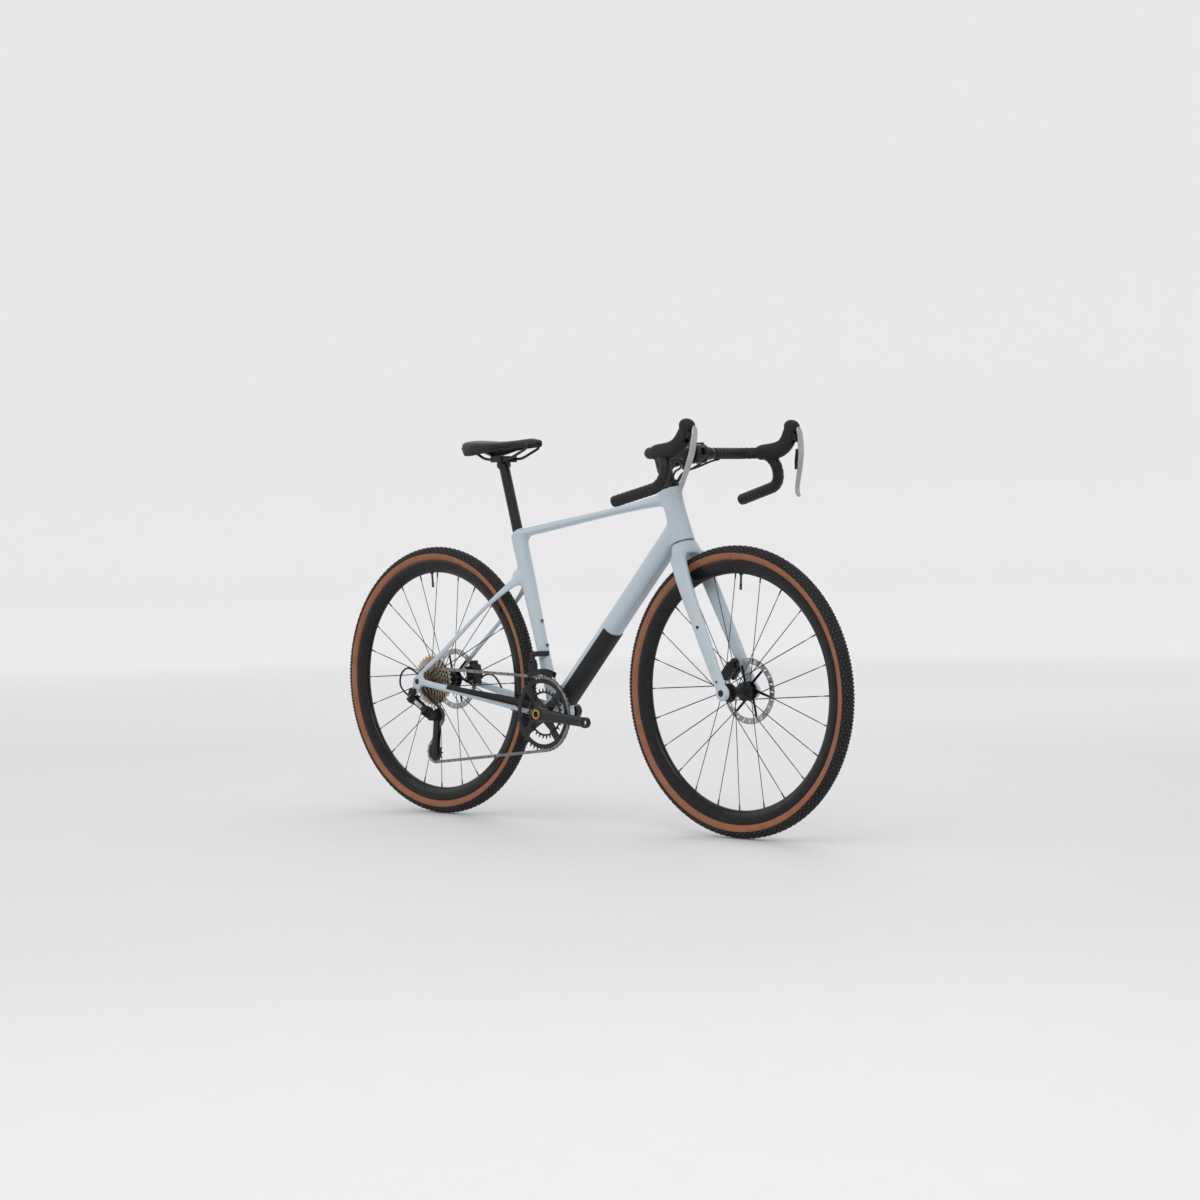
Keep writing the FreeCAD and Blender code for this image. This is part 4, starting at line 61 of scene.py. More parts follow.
def editAll(piece):
    pick(piece)
    bpy.ops.object.mode_set(mode="EDIT")
    bpy.ops.mesh.select_all(action="SELECT")


def press(piece, kind, **settings):
    pick(piece)
    step = piece.modifiers.new(kind.lower(), kind)
    for name, value in settings.items():
        setattr(step, name, value)
    bpy.ops.object.modifier_apply(modifier=step.name)
    return piece


def weld(piece, reach=5e-6, outward=False):
    editAll(piece)
    bpy.ops.mesh.remove_doubles(threshold=reach)
    if outward:
        bpy.ops.mesh.normals_make_consistent(inside=False)
    rest()
    return piece


def joined(label, pieces):
    pick(*pieces)
    if len(pieces) > 1:
        bpy.ops.object.join()
    pieces[0].name = label
    return pieces[0]


def settle(piece):
    pick(piece)
    bpy.ops.object.transform_apply(location=True, rotation=True, scale=True)
    return piece


def linked(label, data):
    piece = bpy.data.objects.new(label, data)
    bpy.context.scene.collection.objects.link(piece)
    return piece


def twin(piece, matrix):
    copy = linked(piece.name + "_twin", piece.data.copy())
    copy.data.transform(matrix)
    return copy


def nodeCopy(label, name):
    piece = pick(linked(label, nodes[name].data.copy()))
    bpy.ops.mesh.customdata_custom_splitnormals_clear()
    return weld(piece)


def smoothed(piece, angle=35):
    pick(piece)
    bpy.ops.object.shade_smooth_by_angle(angle=math.radians(angle))
    return piece


def dress(piece, material, slot, body, *names):
    piece.data.materials.clear()
    piece.data.materials.append(material)
    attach(piece, body)
    if names:
        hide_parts(*names)
    return piece


def rolled(label, around, along, place, close=True):
    # A grid rolled into a tube, with each vertex at place(row share, turn).
    rest()
    bpy.ops.mesh.primitive_grid_add(x_subdivisions=around, y_subdivisions=along, size=1)
    piece = bpy.context.object
    piece.name = label
    for vertex in piece.data.vertices:
        turn = 2 * math.pi * (vertex.co.x + 0.5)
        vertex.co = place(vertex.co.y + 0.5, turn)
    weld(piece, 1e-6)
    if close:
        editAll(piece)
        bpy.ops.mesh.fill_holes(sides=0)
        bpy.ops.mesh.normals_make_consistent(inside=False)
        rest()
    return piece


def turned(label, profile, centre, steps):
    # A closed profile of (radius, place) points, spun about the axle line.
    rest()
    bpy.ops.mesh.primitive_circle_add(vertices=len(profile), radius=1)
    piece = bpy.context.object
    piece.name = label
    for vertex, (radius, place) in zip(piece.data.vertices, profile):
        vertex.co = Vector((0, place, radius))
    press(piece, "SCREW", axis="Y", steps=steps, render_steps=steps, use_merge_vertices=True,
          merge_threshold=1e-6, use_smooth_shade=True)
    weld(piece, 1e-6, True)
    piece.data.transform(Matrix.Translation(centre))
    return smoothed(piece, 32)


edgeForm = {"flat": 0.6, "sharp": 33, "segments": 2, "shade": 40}


def bevelled(label, node, material, slot, body, edge):
    # A node's own solid with its sharp edges broken.
    piece = nodeCopy(label, node)
    editAll(piece)
    bpy.ops.mesh.dissolve_limited(angle_limit=math.radians(edgeForm["flat"]))
    rest()
    press(piece, "BEVEL", width=edge, segments=edgeForm["segments"], limit_method="ANGLE",
          angle_limit=math.radians(edgeForm["sharp"]), use_clamp_overlap=False, loop_slide=False)
    return dress(smoothed(piece, edgeForm["shade"]), material, slot, body, node)


def filled(piece, voxel, fill, swell=0):
    # A solid swollen and drawn back, so that its inner corners fill.
    press(piece, "REMESH", mode="VOXEL", voxel_size=voxel)
    if fill:
        press(piece, "DISPLACE", strength=fill, mid_level=0)
        press(piece, "REMESH", mode="VOXEL", voxel_size=voxel)
        press(piece, "DISPLACE", strength=swell - fill, mid_level=0)
        press(piece, "REMESH", mode="VOXEL", voxel_size=voxel)
    return piece


def softened(piece, centre, reach, calm):
    # One region smoothed, less and less toward its edge.
    group = piece.vertex_groups.new(name="soft")
    for vertex in piece.data.vertices:
        weight = 1 - (vertex.co - Vector(centre)).length / reach
        if weight > 0:
            group.add([vertex.index], min(1, 2 * weight), "REPLACE")
    press(piece, "SMOOTH", factor=0.5, iterations=calm, vertex_group=group.name)
    piece.vertex_groups.clear()
    return piece


def calmed(piece, calm):
    press(piece, "SMOOTH", factor=0.5, iterations=calm)
    pick(piece)
    bpy.ops.object.shade_smooth()
    return piece


def moulded(label, node, material, slot, body, voxel, fill, calm):
    # A node's own solid with soft edges.
    piece = calmed(filled(nodeCopy(label, node), voxel, fill), calm)
    return dress(piece, material, slot, body, node)


def looseParts(label, name):
    # A node's separate solids, each as a piece of its own.
    pick(nodeCopy(label, name))
    bpy.ops.object.mode_set(mode="EDIT")
    bpy.ops.mesh.separate(type="LOOSE")
    bpy.ops.object.mode_set(mode="OBJECT")
    return list(bpy.context.selected_objects)


def between(rows, share):
    # Values at a share of the way along rows of (share, values).
    for first, last in zip(rows, rows[1:]):
        if share <= last[0] or last is rows[-1]:
            part = (share - first[0]) / (last[0] - first[0])
            return [a + (b - a) * part for a, b in zip(first[1:], last[1:])]


def signedPower(value, power):
    return math.copysign(abs(value) ** power, value)


def ringPoint(spot, across, other, turn, radius, otherRadius=None):
    # A point of a ring, or of an oval, about a spot.
    return spot + across * (radius * math.cos(turn)) + other * ((otherRadius or radius) * math.sin(turn))


# Shared effects

def added(tree, kind, inputs=(), **settings):
    # A shader node with its settings, and its inputs given as values or links.
    node = tree.nodes.new("ShaderNode" + kind)
    for name, value in settings.items():
        setattr(node, name, value)
    for name, value in dict(inputs).items():
        if isinstance(value, bpy.types.NodeSocket):
            tree.links.new(value, node.inputs[name])
        else:
            node.inputs[name].default_value = value
    return node


def worked(tree, operation, *values):
    return added(tree, "Math", enumerate(values), operation=operation).outputs["Value"]


def mapped(tree, source, low, high, toLow=0, toHigh=1):
    inputs = {"Value": source, "From Min": low, "From Max": high, "To Min": toLow, "To Max": toHigh}
    return added(tree, "MapRange", inputs).outputs["Result"]


def objectSpot(tree):
    return added(tree, "TexCoord").outputs["Object"]


def newGroup(name, inputs, outputs):
    group = bpy.data.node_groups.new(name, "ShaderNodeTree")
    for label, value in inputs:
        socket = group.interface.new_socket(name=label, in_out="INPUT", socket_type="NodeSocketFloat")
        socket.default_value = value
    for label in outputs:
        group.interface.new_socket(name=label, in_out="OUTPUT", socket_type="NodeSocketFloat")
    return group, group.nodes.new("NodeGroupInput"), group.nodes.new("NodeGroupOutput")


def grainGroup():
    # Fine and broad noise: one value for tone, one for bump.
    group, start, end = newGroup("surfaceGrain", (("Scale", 400), ("Broad", 12)), ("Tone", "Height"))
    spot = objectSpot(group)
    for label, out in (("Scale", "Height"), ("Broad", "Tone")):
        noise = added(group, "TexNoise", {"Detail": 4, "Vector": spot, "Scale": start.outputs[label]})
        group.links.new(mapped(group, noise.outputs["Fac"], 0.32, 0.68), end.inputs[out])
    return group


def rubGroup():
    # Where edges stand proud and have been rubbed.
    group, start, end = newGroup("rubbedEdges", (("From", 0.53), ("To", 0.6)), ("Mask",))
    proud = mapped(group, added(group, "NewGeometry").outputs["Pointiness"], start.outputs["From"],
                   start.outputs["To"])
    noise = added(group, "TexNoise", {"Scale": 160, "Vector": objectSpot(group)})
    broken = mapped(group, noise.outputs["Fac"], 0.35, 0.65)
    group.links.new(worked(group, "MULTIPLY", proud, broken), end.inputs["Mask"])
    return group


def turnedGroup():
    # Fine rings about an axle line, as a lathe or a brush leaves them, and the distance from that line.
    group, start, end = newGroup("turnedLines", (("Ahead", 0), ("Up", 0.351), ("Scale", 900)),
                                 ("Lines", "Reach"))
    split = added(group, "SeparateXYZ", {"Vector": objectSpot(group)})
    squares = []
    for axis, label in (("X", "Ahead"), ("Z", "Up")):
        away = worked(group, "SUBTRACT", split.outputs[axis], start.outputs[label])
        squares.append(worked(group, "MULTIPLY", away, away))
    reach = worked(group, "SQRT", worked(group, "ADD", *squares))
    group.links.new(reach, end.inputs["Reach"])
    noise = added(group, "TexNoise", {"Detail": 2, "W": reach, "Scale": start.outputs["Scale"]},
                  noise_dimensions="1D")
    group.links.new(mapped(group, noise.outputs["Fac"], 0.3, 0.7), end.inputs["Lines"])
    return group


def cellGroup():
    # Small raised cells, as on moulded rubber, leather and tape.
    group, start, end = newGroup("raisedCells", (("Scale", 700), ("Edge", 0.25)), ("Height",))
    spread = added(group, "TexVoronoi", {"Vector": objectSpot(group), "Scale": start.outputs["Scale"]},
                   feature="DISTANCE_TO_EDGE")
    height = mapped(group, spread.outputs["Distance"], 0, start.outputs["Edge"])
    group.links.new(height, end.inputs["Height"])
    return group


def paintedShadeGroup():
    # Painted shade: a mask, from ambient occlusion, of where a surface lies deep between others and shade
    # would fall.
    group, start, end = newGroup("paintedHollowShade", (("Reach", 0.005),), ("Mask",))
    shade = added(group, "AmbientOcclusion", {"Distance": start.outputs["Reach"]}, only_local=True,
                  samples=6)
    group.links.new(mapped(group, shade.outputs["AO"], 0.3, 0.95), end.inputs["Mask"])
    return group


grain = grainGroup()
paintedShade = paintedShadeGroup()
rubbed = rubGroup()
turnedLines = turnedGroup()
cells = cellGroup()
# hollowShade is the share of the colour that is left in the painted shade of hollows.
finishForm = {"coatRough": 0.12, "coreEdge": 0.0004, "hollowShade": 0.1}


def finish(name, colour, second, rough, metal=0, coat=0, scale=420, broad=14, bump=0.15, depth=0.0002,
           worn=None, wornAt=(0.53, 0.6), lines=None, cellScale=None, cellEdge=0.25, sheen=0,
           paintedShadeReach=0, core=None, shine=0.5):
    # One surface: two tones of colour, roughness that varies, fine relief and, where given, rubbed edges,
    # a core of another colour about the axle and painted shade in its hollows.
    material = bpy.data.materials.new(name)
    material.use_nodes = True
    tree = material.node_tree
    shader = tree.nodes["Principled BSDF"]
    even = {"Metallic": metal, "Coat Weight": coat, "Coat Roughness": finishForm["coatRough"],
            "Sheen Weight": sheen, "Specular IOR Level": shine}
    for label, value in even.items():
        shader.inputs[label].default_value = value

    def placed(group, **values):
        return added(tree, "Group", values, node_tree=group).outputs

    def blended(mask, low, high):
        # From one colour to another by a mask. Each is a colour or a link.
        ends = {key: (*value, 1) if isinstance(value, (tuple, list)) else value
                for key, value in (("A", low), ("B", high))}
        return added(tree, "Mix", {"Factor": mask, **ends}, data_type="RGBA").outputs["Result"]

    field = placed(grain, Scale=scale, Broad=broad)
    tone, height = field["Tone"], field["Height"]
    if lines:
        rings = placed(turnedLines, Ahead=lines[0], Up=lines[1], Scale=lines[2])
        tone = height = rings["Lines"]
    if cellScale:
        height = placed(cells, Scale=cellScale, Edge=cellEdge)["Height"]
    paint = blended(tone, colour, second)
    if worn:
        paint = blended(placed(rubbed, From=wornAt[0], To=wornAt[1])["Mask"], paint, worn)
    if core:
        radius, coreColour = core
        mask = mapped(tree, rings["Reach"], radius - finishForm["coreEdge"], radius + finishForm["coreEdge"])
        paint = blended(mask, coreColour, paint)
    # Painted shade: the colour is darkened where the surface lies deep between others.
    if paintedShadeReach:
        deep = [value * finishForm["hollowShade"] for value in colour]
        paint = blended(placed(paintedShade, Reach=paintedShadeReach)["Mask"], deep, paint)
    relief = added(tree, "Bump", {"Strength": bump, "Distance": depth, "Height": height})
    ends = {"Base Color": paint, "Roughness": mapped(tree, tone, 0, 1, *rough),
            "Normal": relief.outputs["Normal"]}
    for label, source in ends.items():
        tree.links.new(source, shader.inputs[label])
    return material


framePaint = finish("frame_paint", (0.44, 0.515, 0.57), (0.462, 0.535, 0.588), (0.34, 0.42), coat=0.25,
                    scale=900, broad=7, bump=0.05, depth=0.0001)
guardBlack = finish("guard_black", (0.012, 0.012, 0.013), (0.018, 0.018, 0.02), (0.5, 0.62), scale=900,
                    cellScale=1400, bump=0.2, depth=0.0001, shine=0.25)
alloyBlack = finish("alloy_black", (0.009, 0.009, 0.01), (0.016, 0.016, 0.018), (0.28, 0.4), metal=0.3,
                    coat=0.05, scale=1200, bump=0.06, shine=0.3, worn=(0.16, 0.16, 0.17),
                    wornAt=(0.56, 0.68))
crankBlack = finish("crank_black", (0.009, 0.009, 0.01), (0.015, 0.015, 0.016), (0.16, 0.28), metal=0.2,
                    coat=0.2, scale=1300, bump=0.04, shine=0.3, worn=(0.1, 0.1, 0.105), wornAt=(0.58, 0.7))
leverGrey = finish("lever_grey", (0.36, 0.36, 0.37), (0.44, 0.44, 0.45), (0.22, 0.32), metal=0.9, scale=1600,
                   broad=30, bump=0.05)
rimGloss = finish("rim_gloss", (0.005, 0.005, 0.006), (0.009, 0.009, 0.01), (0.1, 0.18), coat=0.08,
                  scale=260, broad=60, bump=0.02, shine=0.22)
# Painted shade darkens the tread rubber in its hollows.
rubberBlack = finish("rubber_black", (0.009, 0.009, 0.009), (0.018, 0.0175, 0.017), (0.62, 0.8), scale=1500,
                     broad=24, bump=0.25, depth=0.0002, paintedShadeReach=0.003, shine=0.25)
knobRubber = finish("knob_rubber", (0.02, 0.02, 0.0205), (0.034, 0.0335, 0.033), (0.5, 0.66), scale=1500,
                    broad=24, bump=0.2, depth=0.0002, shine=0.35)
tanSide = finish("tan_side", (0.235, 0.083, 0.037), (0.3, 0.112, 0.052), (0.6, 0.74), scale=1700, broad=40,
                 cellScale=1500, cellEdge=0.35, bump=0.2, depth=0.0001)
hoodBlack = finish("hood_black", (0.01, 0.01, 0.011), (0.016, 0.016, 0.017), (0.55, 0.7), cellScale=520,
                   cellEdge=0.3, bump=0.35, depth=0.0003, shine=0.28)
# Painted shade darkens the hollows between the wraps of tape.
tapeBlack = finish("tape_black", (0.008, 0.008, 0.009), (0.014, 0.014, 0.015), (0.42, 0.56), cellScale=480,
                   cellEdge=0.5, bump=0.35, depth=0.0003, paintedShadeReach=0.004, shine=0.3)
saddleSkin = finish("saddle_skin", (0.009, 0.009, 0.01), (0.014, 0.014, 0.015), (0.42, 0.56), cellScale=900,
                    cellEdge=0.3, bump=0.22, depth=0.0002, sheen=0.1, shine=0.35)
postBlack = finish("post_black", (0.008, 0.008, 0.009), (0.014, 0.014, 0.015), (0.2, 0.3), coat=0.1,
                   scale=700, bump=0.05, shine=0.3)
hoseBlack = finish("hose_black", (0.009, 0.009, 0.01), (0.014, 0.014, 0.015), (0.34, 0.46), scale=900,
                   bump=0.06, shine=0.3)
plasticBlack = finish("plastic_black", (0.012, 0.012, 0.013), (0.02, 0.02, 0.021), (0.4, 0.54), scale=1100,
                      bump=0.12, shine=0.3)
boltBlack = finish("bolt_black", (0.014, 0.014, 0.015), (0.025, 0.025, 0.026), (0.3, 0.45), metal=0.6,
                   scale=1400, bump=0.08, worn=(0.2, 0.2, 0.21))
# Painted shade darkens the crevices between the chain's plates and rollers.
chainSteel = finish("chain_steel", (0.17, 0.165, 0.16), (0.3, 0.295, 0.285), (0.28, 0.44), metal=1,
                    scale=900, broad=90, bump=0.1, paintedShadeReach=0.003)
# Painted shade darkens the gaps between the cogs.
cogSteel = finish("cog_steel", (0.4, 0.345, 0.26), (0.54, 0.475, 0.37), (0.24, 0.38), metal=1,
                  lines=(rearAxle.x, rearAxle.z, 2200), bump=0.06, depth=0.00005, paintedShadeReach=0.007)
ringBlack = finish("ring_black", (0.012, 0.012, 0.013), (0.024, 0.024, 0.025), (0.3, 0.45), metal=0.5,
                   lines=(bracket.x, bracket.z, 1800), bump=0.08, depth=0.00005, worn=(0.24, 0.24, 0.25),
                   wornAt=(0.56, 0.68))
rotorSteel = {}
for name, axle in wheels:
    rotorSteel[name] = finish(name + "_rotor_steel", (0.3, 0.3, 0.3), (0.44, 0.44, 0.44), (0.22, 0.36),
                              metal=1, lines=(axle.x, axle.z, 2400), bump=0.08, depth=0.00005,
                              core=(0.0645, (0.012, 0.012, 0.013)))
print("finishes ready")


# Frame and fork

seatUp = Vector((-0.26724, 0, 0.96363))
frameForm = {
    "voxel": 0.0022, "wide": 0.018, "fill": 0.008, "calm": 6, "head": (0.82, 0, 0.76), "headReach": 0.14,
    "headCalm": 10, "postHole": 0.01366, "holeSides": 48, "holeFrom": 0.34, "holeTo": 0.53, "slim": 0.0022,
}
forkForm = {
    "voxel": 0.0018, "fill": 0.012, "calm": 6, "crown": (0.9, 0, 0.645), "crownReach": 0.085,
    "crownCalm": 60, "legTop": 0.64, "legRun": 0.18, "legSwell": 0.0032, "inward": -0.3,
    "shoulder": 0.666, "shoulderRun": 0.032, "shoulderTuck": 0.15, "shoulderFrom": 0.02,
}


def mouldFrame():
    # The tubes flow into each other, and the hanger is painted with the stays.
    voxel = frameForm["voxel"]
    main = filled(nodeCopy("frame_shell", "front_triangle"), voxel, frameForm["wide"])
    low, high = (bracket + seatUp * frameForm[end] for end in ("holeFrom", "holeTo"))
    rest()
    bpy.ops.mesh.primitive_cylinder_add(vertices=frameForm["holeSides"], radius=frameForm["postHole"],
                                        depth=(high - low).length, location=(low + high) / 2,
                                        rotation=seatUp.to_track_quat("Z", "Y").to_euler())
    drill = bpy.context.object
    press(main, "BOOLEAN", operation="DIFFERENCE", object=drill, solver="EXACT")
    bpy.data.objects.remove(drill)
    stays = filled(nodeCopy("seat_stays_slim", "seat_stays"), voxel, 0)
    press(stays, "DISPLACE", strength=-frameForm["slim"], mid_level=0)
    parts = [main, stays, nodeCopy("chain_stays_shell", "chain_stays")]
    fittings = []
    for part in looseParts("fittings", "frame_fittings"):
        isHanger = max(vertex.co.x for vertex in part.data.vertices) < bracket.x / 2
        (parts if isHanger else fittings).append(part)
    piece = filled(joined("frame_shell", parts), voxel, frameForm["fill"])
    softened(piece, frameForm["head"], frameForm["headReach"], frameForm["headCalm"])
    dress(calmed(piece, frameForm["calm"]), framePaint, "frame_paint", "frame", "front_triangle",
          "seat_stays", "chain_stays", "frame_fittings")
    small = smoothed(joined("frame_fittings_finish", fittings))
    dress(small, boltBlack, "black_metal", "frame", "frame_fittings")


def mouldFork():
    piece = filled(nodeCopy("fork_shell", "fork"), forkForm["voxel"], forkForm["fill"])
    for vertex in piece.data.vertices:  # the shoulders lie in line with the legs
        away = max(0, abs(vertex.co.y) - forkForm["shoulderFrom"]) / forkForm["shoulderFrom"]
        near = math.exp(-((vertex.co.z - forkForm["shoulder"]) / forkForm["shoulderRun"]) ** 2)
        vertex.co.y *= 1 - forkForm["shoulderTuck"] * near * min(1, away)
    softened(piece, forkForm["crown"], forkForm["crownReach"], forkForm["crownCalm"])
    group = piece.vertex_groups.new(name="legs")
    for vertex in piece.data.vertices:  # the legs stay broad down to their tips, but not toward the wheel
        weight = (forkForm["legTop"] - vertex.co.z) / forkForm["legRun"]
        if weight > 0 and math.copysign(vertex.normal.y, vertex.co.y * vertex.normal.y) > forkForm["inward"]:
            group.add([vertex.index], min(1, weight), "REPLACE")
    press(piece, "DISPLACE", strength=forkForm["legSwell"], mid_level=0, vertex_group=group.name)
    piece.vertex_groups.clear()
    return dress(calmed(piece, forkForm["calm"]), framePaint, "frame_paint", "steering", "fork")


mouldFrame()
fork = mouldFork()
bevelled("down_tube_cover", "frame_guards", guardBlack, "black_guard", "frame", 0.0006)
print("frame and fork moulded")


# Camera, light and floor

view = {
    "azimuth": 44.07, "elevation": 1.82, "roll": -1.04, "lens": 88.284, "place": (5.693, -5.271, 0.8),
    "sensor": 36, "clipEnd": 60,
}


def setCamera():
    azimuth, elevation, roll = (math.radians(view[key]) for key in ("azimuth", "elevation", "roll"))
    back = Vector((math.sin(azimuth) * math.cos(elevation), -math.cos(azimuth) * math.cos(elevation),
                   math.sin(elevation)))
    right = Vector((0, 0, 1)).cross(back).normalized()
    up = back.cross(right)
    level = right * math.cos(roll) + up * math.sin(roll)
    upright = up * math.cos(roll) - right * math.sin(roll)
    data = bpy.data.cameras.new("photo_camera")
    data.lens = view["lens"]
    data.sensor_width = view["sensor"]
    data.clip_end = view["clipEnd"]
    camera = linked("photo_camera", data)
    turn = Matrix((level, upright, back)).transposed().to_4x4()
    camera.matrix_world = Matrix.Translation(view["place"]) @ turn
    bpy.context.scene.camera = camera


studio = {
    "key": ((3.0, -3.2, 4.2), 3.4, 62), "fill": ((-3.4, -2.6, 2.6), 3.0, 16),
    "back": ((-2.0, 3.6, 3.6), 3.0, 34), "top": ((0.5, 0, 5.4), 4.4, 30),
    "air": 0.78, "backdrop": 0.7, "floor": (0.7, 0.7, 0.71), "far": 0.24, "middle": (0.5, 0, 0.5),
    "around": 96,  # the bowl's steps around, and its rows of reach and rise
    "bowl": ((0.001, 0), (9, 0), (11, 0.25), (12.6, 1.1), (13.6, 2.6), (14, 4.6), (14, 9)),
}


def bowlPlace(share, turn):
    away, rise = studio["bowl"][round(share * (len(studio["bowl"]) - 1))]
    return Vector((studio["middle"][0] + away * math.cos(turn), away * math.sin(turn), rise))


def farGroup():
    # The backdrop's own light, which grows away from the middle and keeps it even.
    group, start, end = newGroup("farLight", (("Size", 0.1),), ("Mask",))
    size = added(group, "VectorMath", {"Vector": objectSpot(group), "Scale": start.outputs["Size"]},
                 operation="SCALE")
    ball = added(group, "TexGradient", {"Vector": size.outputs["Vector"]}, gradient_type="SPHERICAL")
    group.links.new(mapped(group, ball.outputs["Fac"], 0.75, 0.2), end.inputs["Mask"])
    return group


def setStudio():
    for name in ("key", "fill", "back", "top"):
        place, size, power = studio[name]
        lamp = bpy.data.lights.new(name + "_lamp", "AREA")
        lamp.size = size
        lamp.energy = power
        holder = linked(name + "_lamp", lamp)
        holder.location = place
        aim = Vector(studio["middle"]) - Vector(place)
        holder.rotation_euler = aim.to_track_quat("-Z", "Y").to_euler()
    world = bpy.data.worlds.new("studio_air")
    bpy.context.scene.world = world
    world.use_nodes = True
    tree = world.node_tree
    air = tree.nodes["Background"]
    air.inputs["Color"].default_value = (1, 1, 1, 1)
    path = added(tree, "LightPath").outputs
    seen = worked(tree, "MAXIMUM", path["Is Camera Ray"], path["Is Glossy Ray"])
    tree.links.new(mapped(tree, seen, 0, 1, studio["air"], studio["backdrop"]), air.inputs["Strength"])
    floor = rolled("studio_floor", studio["around"], len(studio["bowl"]) - 1, bowlPlace, False)
    smoothed(floor, 60)
    ground = finish("studio_floor", studio["floor"], studio["floor"], (0.6, 0.7), bump=0)
    tree = ground.node_tree
    shader = tree.nodes["Principled BSDF"]
    shader.inputs["Emission Strength"].default_value = studio["far"]
    lit = added(tree, "Group", node_tree=farGroup())
    tree.links.new(lit.outputs["Mask"], shader.inputs["Emission Color"])
    floor.data.materials.append(ground)
    bpy.context.scene.view_settings.view_transform = "Standard"


setCamera()
setStudio()
print("camera and studio set")


# Machined and moulded pieces that keep their solid's shape

bevelRows = (  # label, node, finish, slot, body, edge
    ("bearing_cups_finish", "frame_bearings", alloyBlack, "black_alloy", "frame", 0.0003),
    ("rear_axle_finish", "rear_thru_axle", boltBlack, "black_metal", "frame", 0.0005),
    ("front_axle_finish", "front_thru_axle", boltBlack, "black_metal", "steering", 0.0005),
    ("headset_finish", "headset_cover", plasticBlack, "black_guard", "steering", 0.0006),
    ("faceplate_finish", "stem_faceplate", alloyBlack, "black_alloy", "steering", 0.0006),
    ("stem_bolts_finish", "stem_bolts", boltBlack, "black_metal", "steering", 0.0004),
    ("lever_brackets_finish", "lever_brackets", plasticBlack, "black_guard", "steering", 0.0003),
    ("cassette_finish", "cassette", cogSteel, "gold_steel", "cassette", 0.00025),
    ("chainrings_finish", "chainrings", ringBlack, "black_steel", "crankset", 0.00025),
    ("rd_cage_finish", "rd_cage", alloyBlack, "black_alloy", "rd_cage", 0.0004),
    ("guide_pulley_finish", "guide_pulley", plasticBlack, "pulley", "guide_pulley", 0.0002),
    ("tension_pulley_finish", "tension_pulley", plasticBlack, "pulley", "tension_pulley", 0.0002),
    ("seatpost_finish", "seatpost", postBlack, "post", "seatpost", 0.0006),
    ("saddle_clamp_finish", "saddle_clamp", alloyBlack, "black_alloy", "seatpost", 0.0006),
)
for row in bevelRows:
    bevelled(*row)
for name, axle in wheels:
    wheelRows = (
        ("hub", alloyBlack, "black_alloy", 0.0005), ("rotor", rotorSteel[name], "steel", 0.0003),
        ("valve", boltBlack, "black_metal", 0.0003),
    )
    for node, material, slot, edge in wheelRows:
        bevelled(f"{name}_{node}_finish", f"{name}_{node}", material, slot, name + "_wheel", edge)
for name, side in sides:
    carrier = name + "_lever_carrier"
    bevelled(name + "_carrier_finish", carrier, alloyBlack, "black_alloy", carrier, 0.0003)
print("machined pieces finished")

castRows = (  # label, node, finish, slot, body, voxel, fill, calm
    ("right_crank_finish", "right_crank", crankBlack, "black_alloy", "crankset", 0.0011, 0.003, 5),
    ("left_crank_finish", "left_crank", crankBlack, "black_alloy", "crankset", 0.0011, 0.003, 5),
    ("stem_finish", "stem", alloyBlack, "black_alloy", "steering", 0.0011, 0.004, 5),
    ("front_caliper_cast", "front_caliper", alloyBlack, "black_alloy", "steering", 0.0008, 0.002, 4),
    ("rear_caliper_cast", "rear_caliper", alloyBlack, "black_alloy", "frame", 0.0008, 0.002, 4),
    ("rd_knuckle_cast", "rear_derailleur_knuckle", alloyBlack, "black_alloy", "frame", 0.0007, 0.0015, 4),
    ("rd_outer_link_cast", "rd_outer_link", alloyBlack, "black_alloy", "rd_outer_link", 0.0007, 0.001, 4),
    ("rd_inner_link_cast", "rd_inner_link", alloyBlack, "black_alloy", "rd_inner_link", 0.0007, 0.001, 4),
    ("rd_p_knuckle_cast", "rd_p_knuckle", alloyBlack, "black_alloy", "rd_p_knuckle", 0.0007, 0.0015, 4),
    ("fd_body_cast", "front_derailleur_body", alloyBlack, "black_alloy", "frame", 0.0006, 0.001, 4),
    ("fd_link_cast", "fd_link", alloyBlack, "black_alloy", "fd_link", 0.0006, 0.001, 4),
    ("fd_cage_cast", "fd_cage", alloyBlack, "black_alloy", "fd_cage", 0.0005, 0.0006, 3),
)
for row in castRows:
    moulded(*row)
for name, side in sides:
    paddle = name + "_shift_paddle"
    moulded(name + "_paddle_blade", paddle, plasticBlack, "black_guard", paddle, 0.0006, 0.001, 5)
print("cast pieces finished")


# Wheels

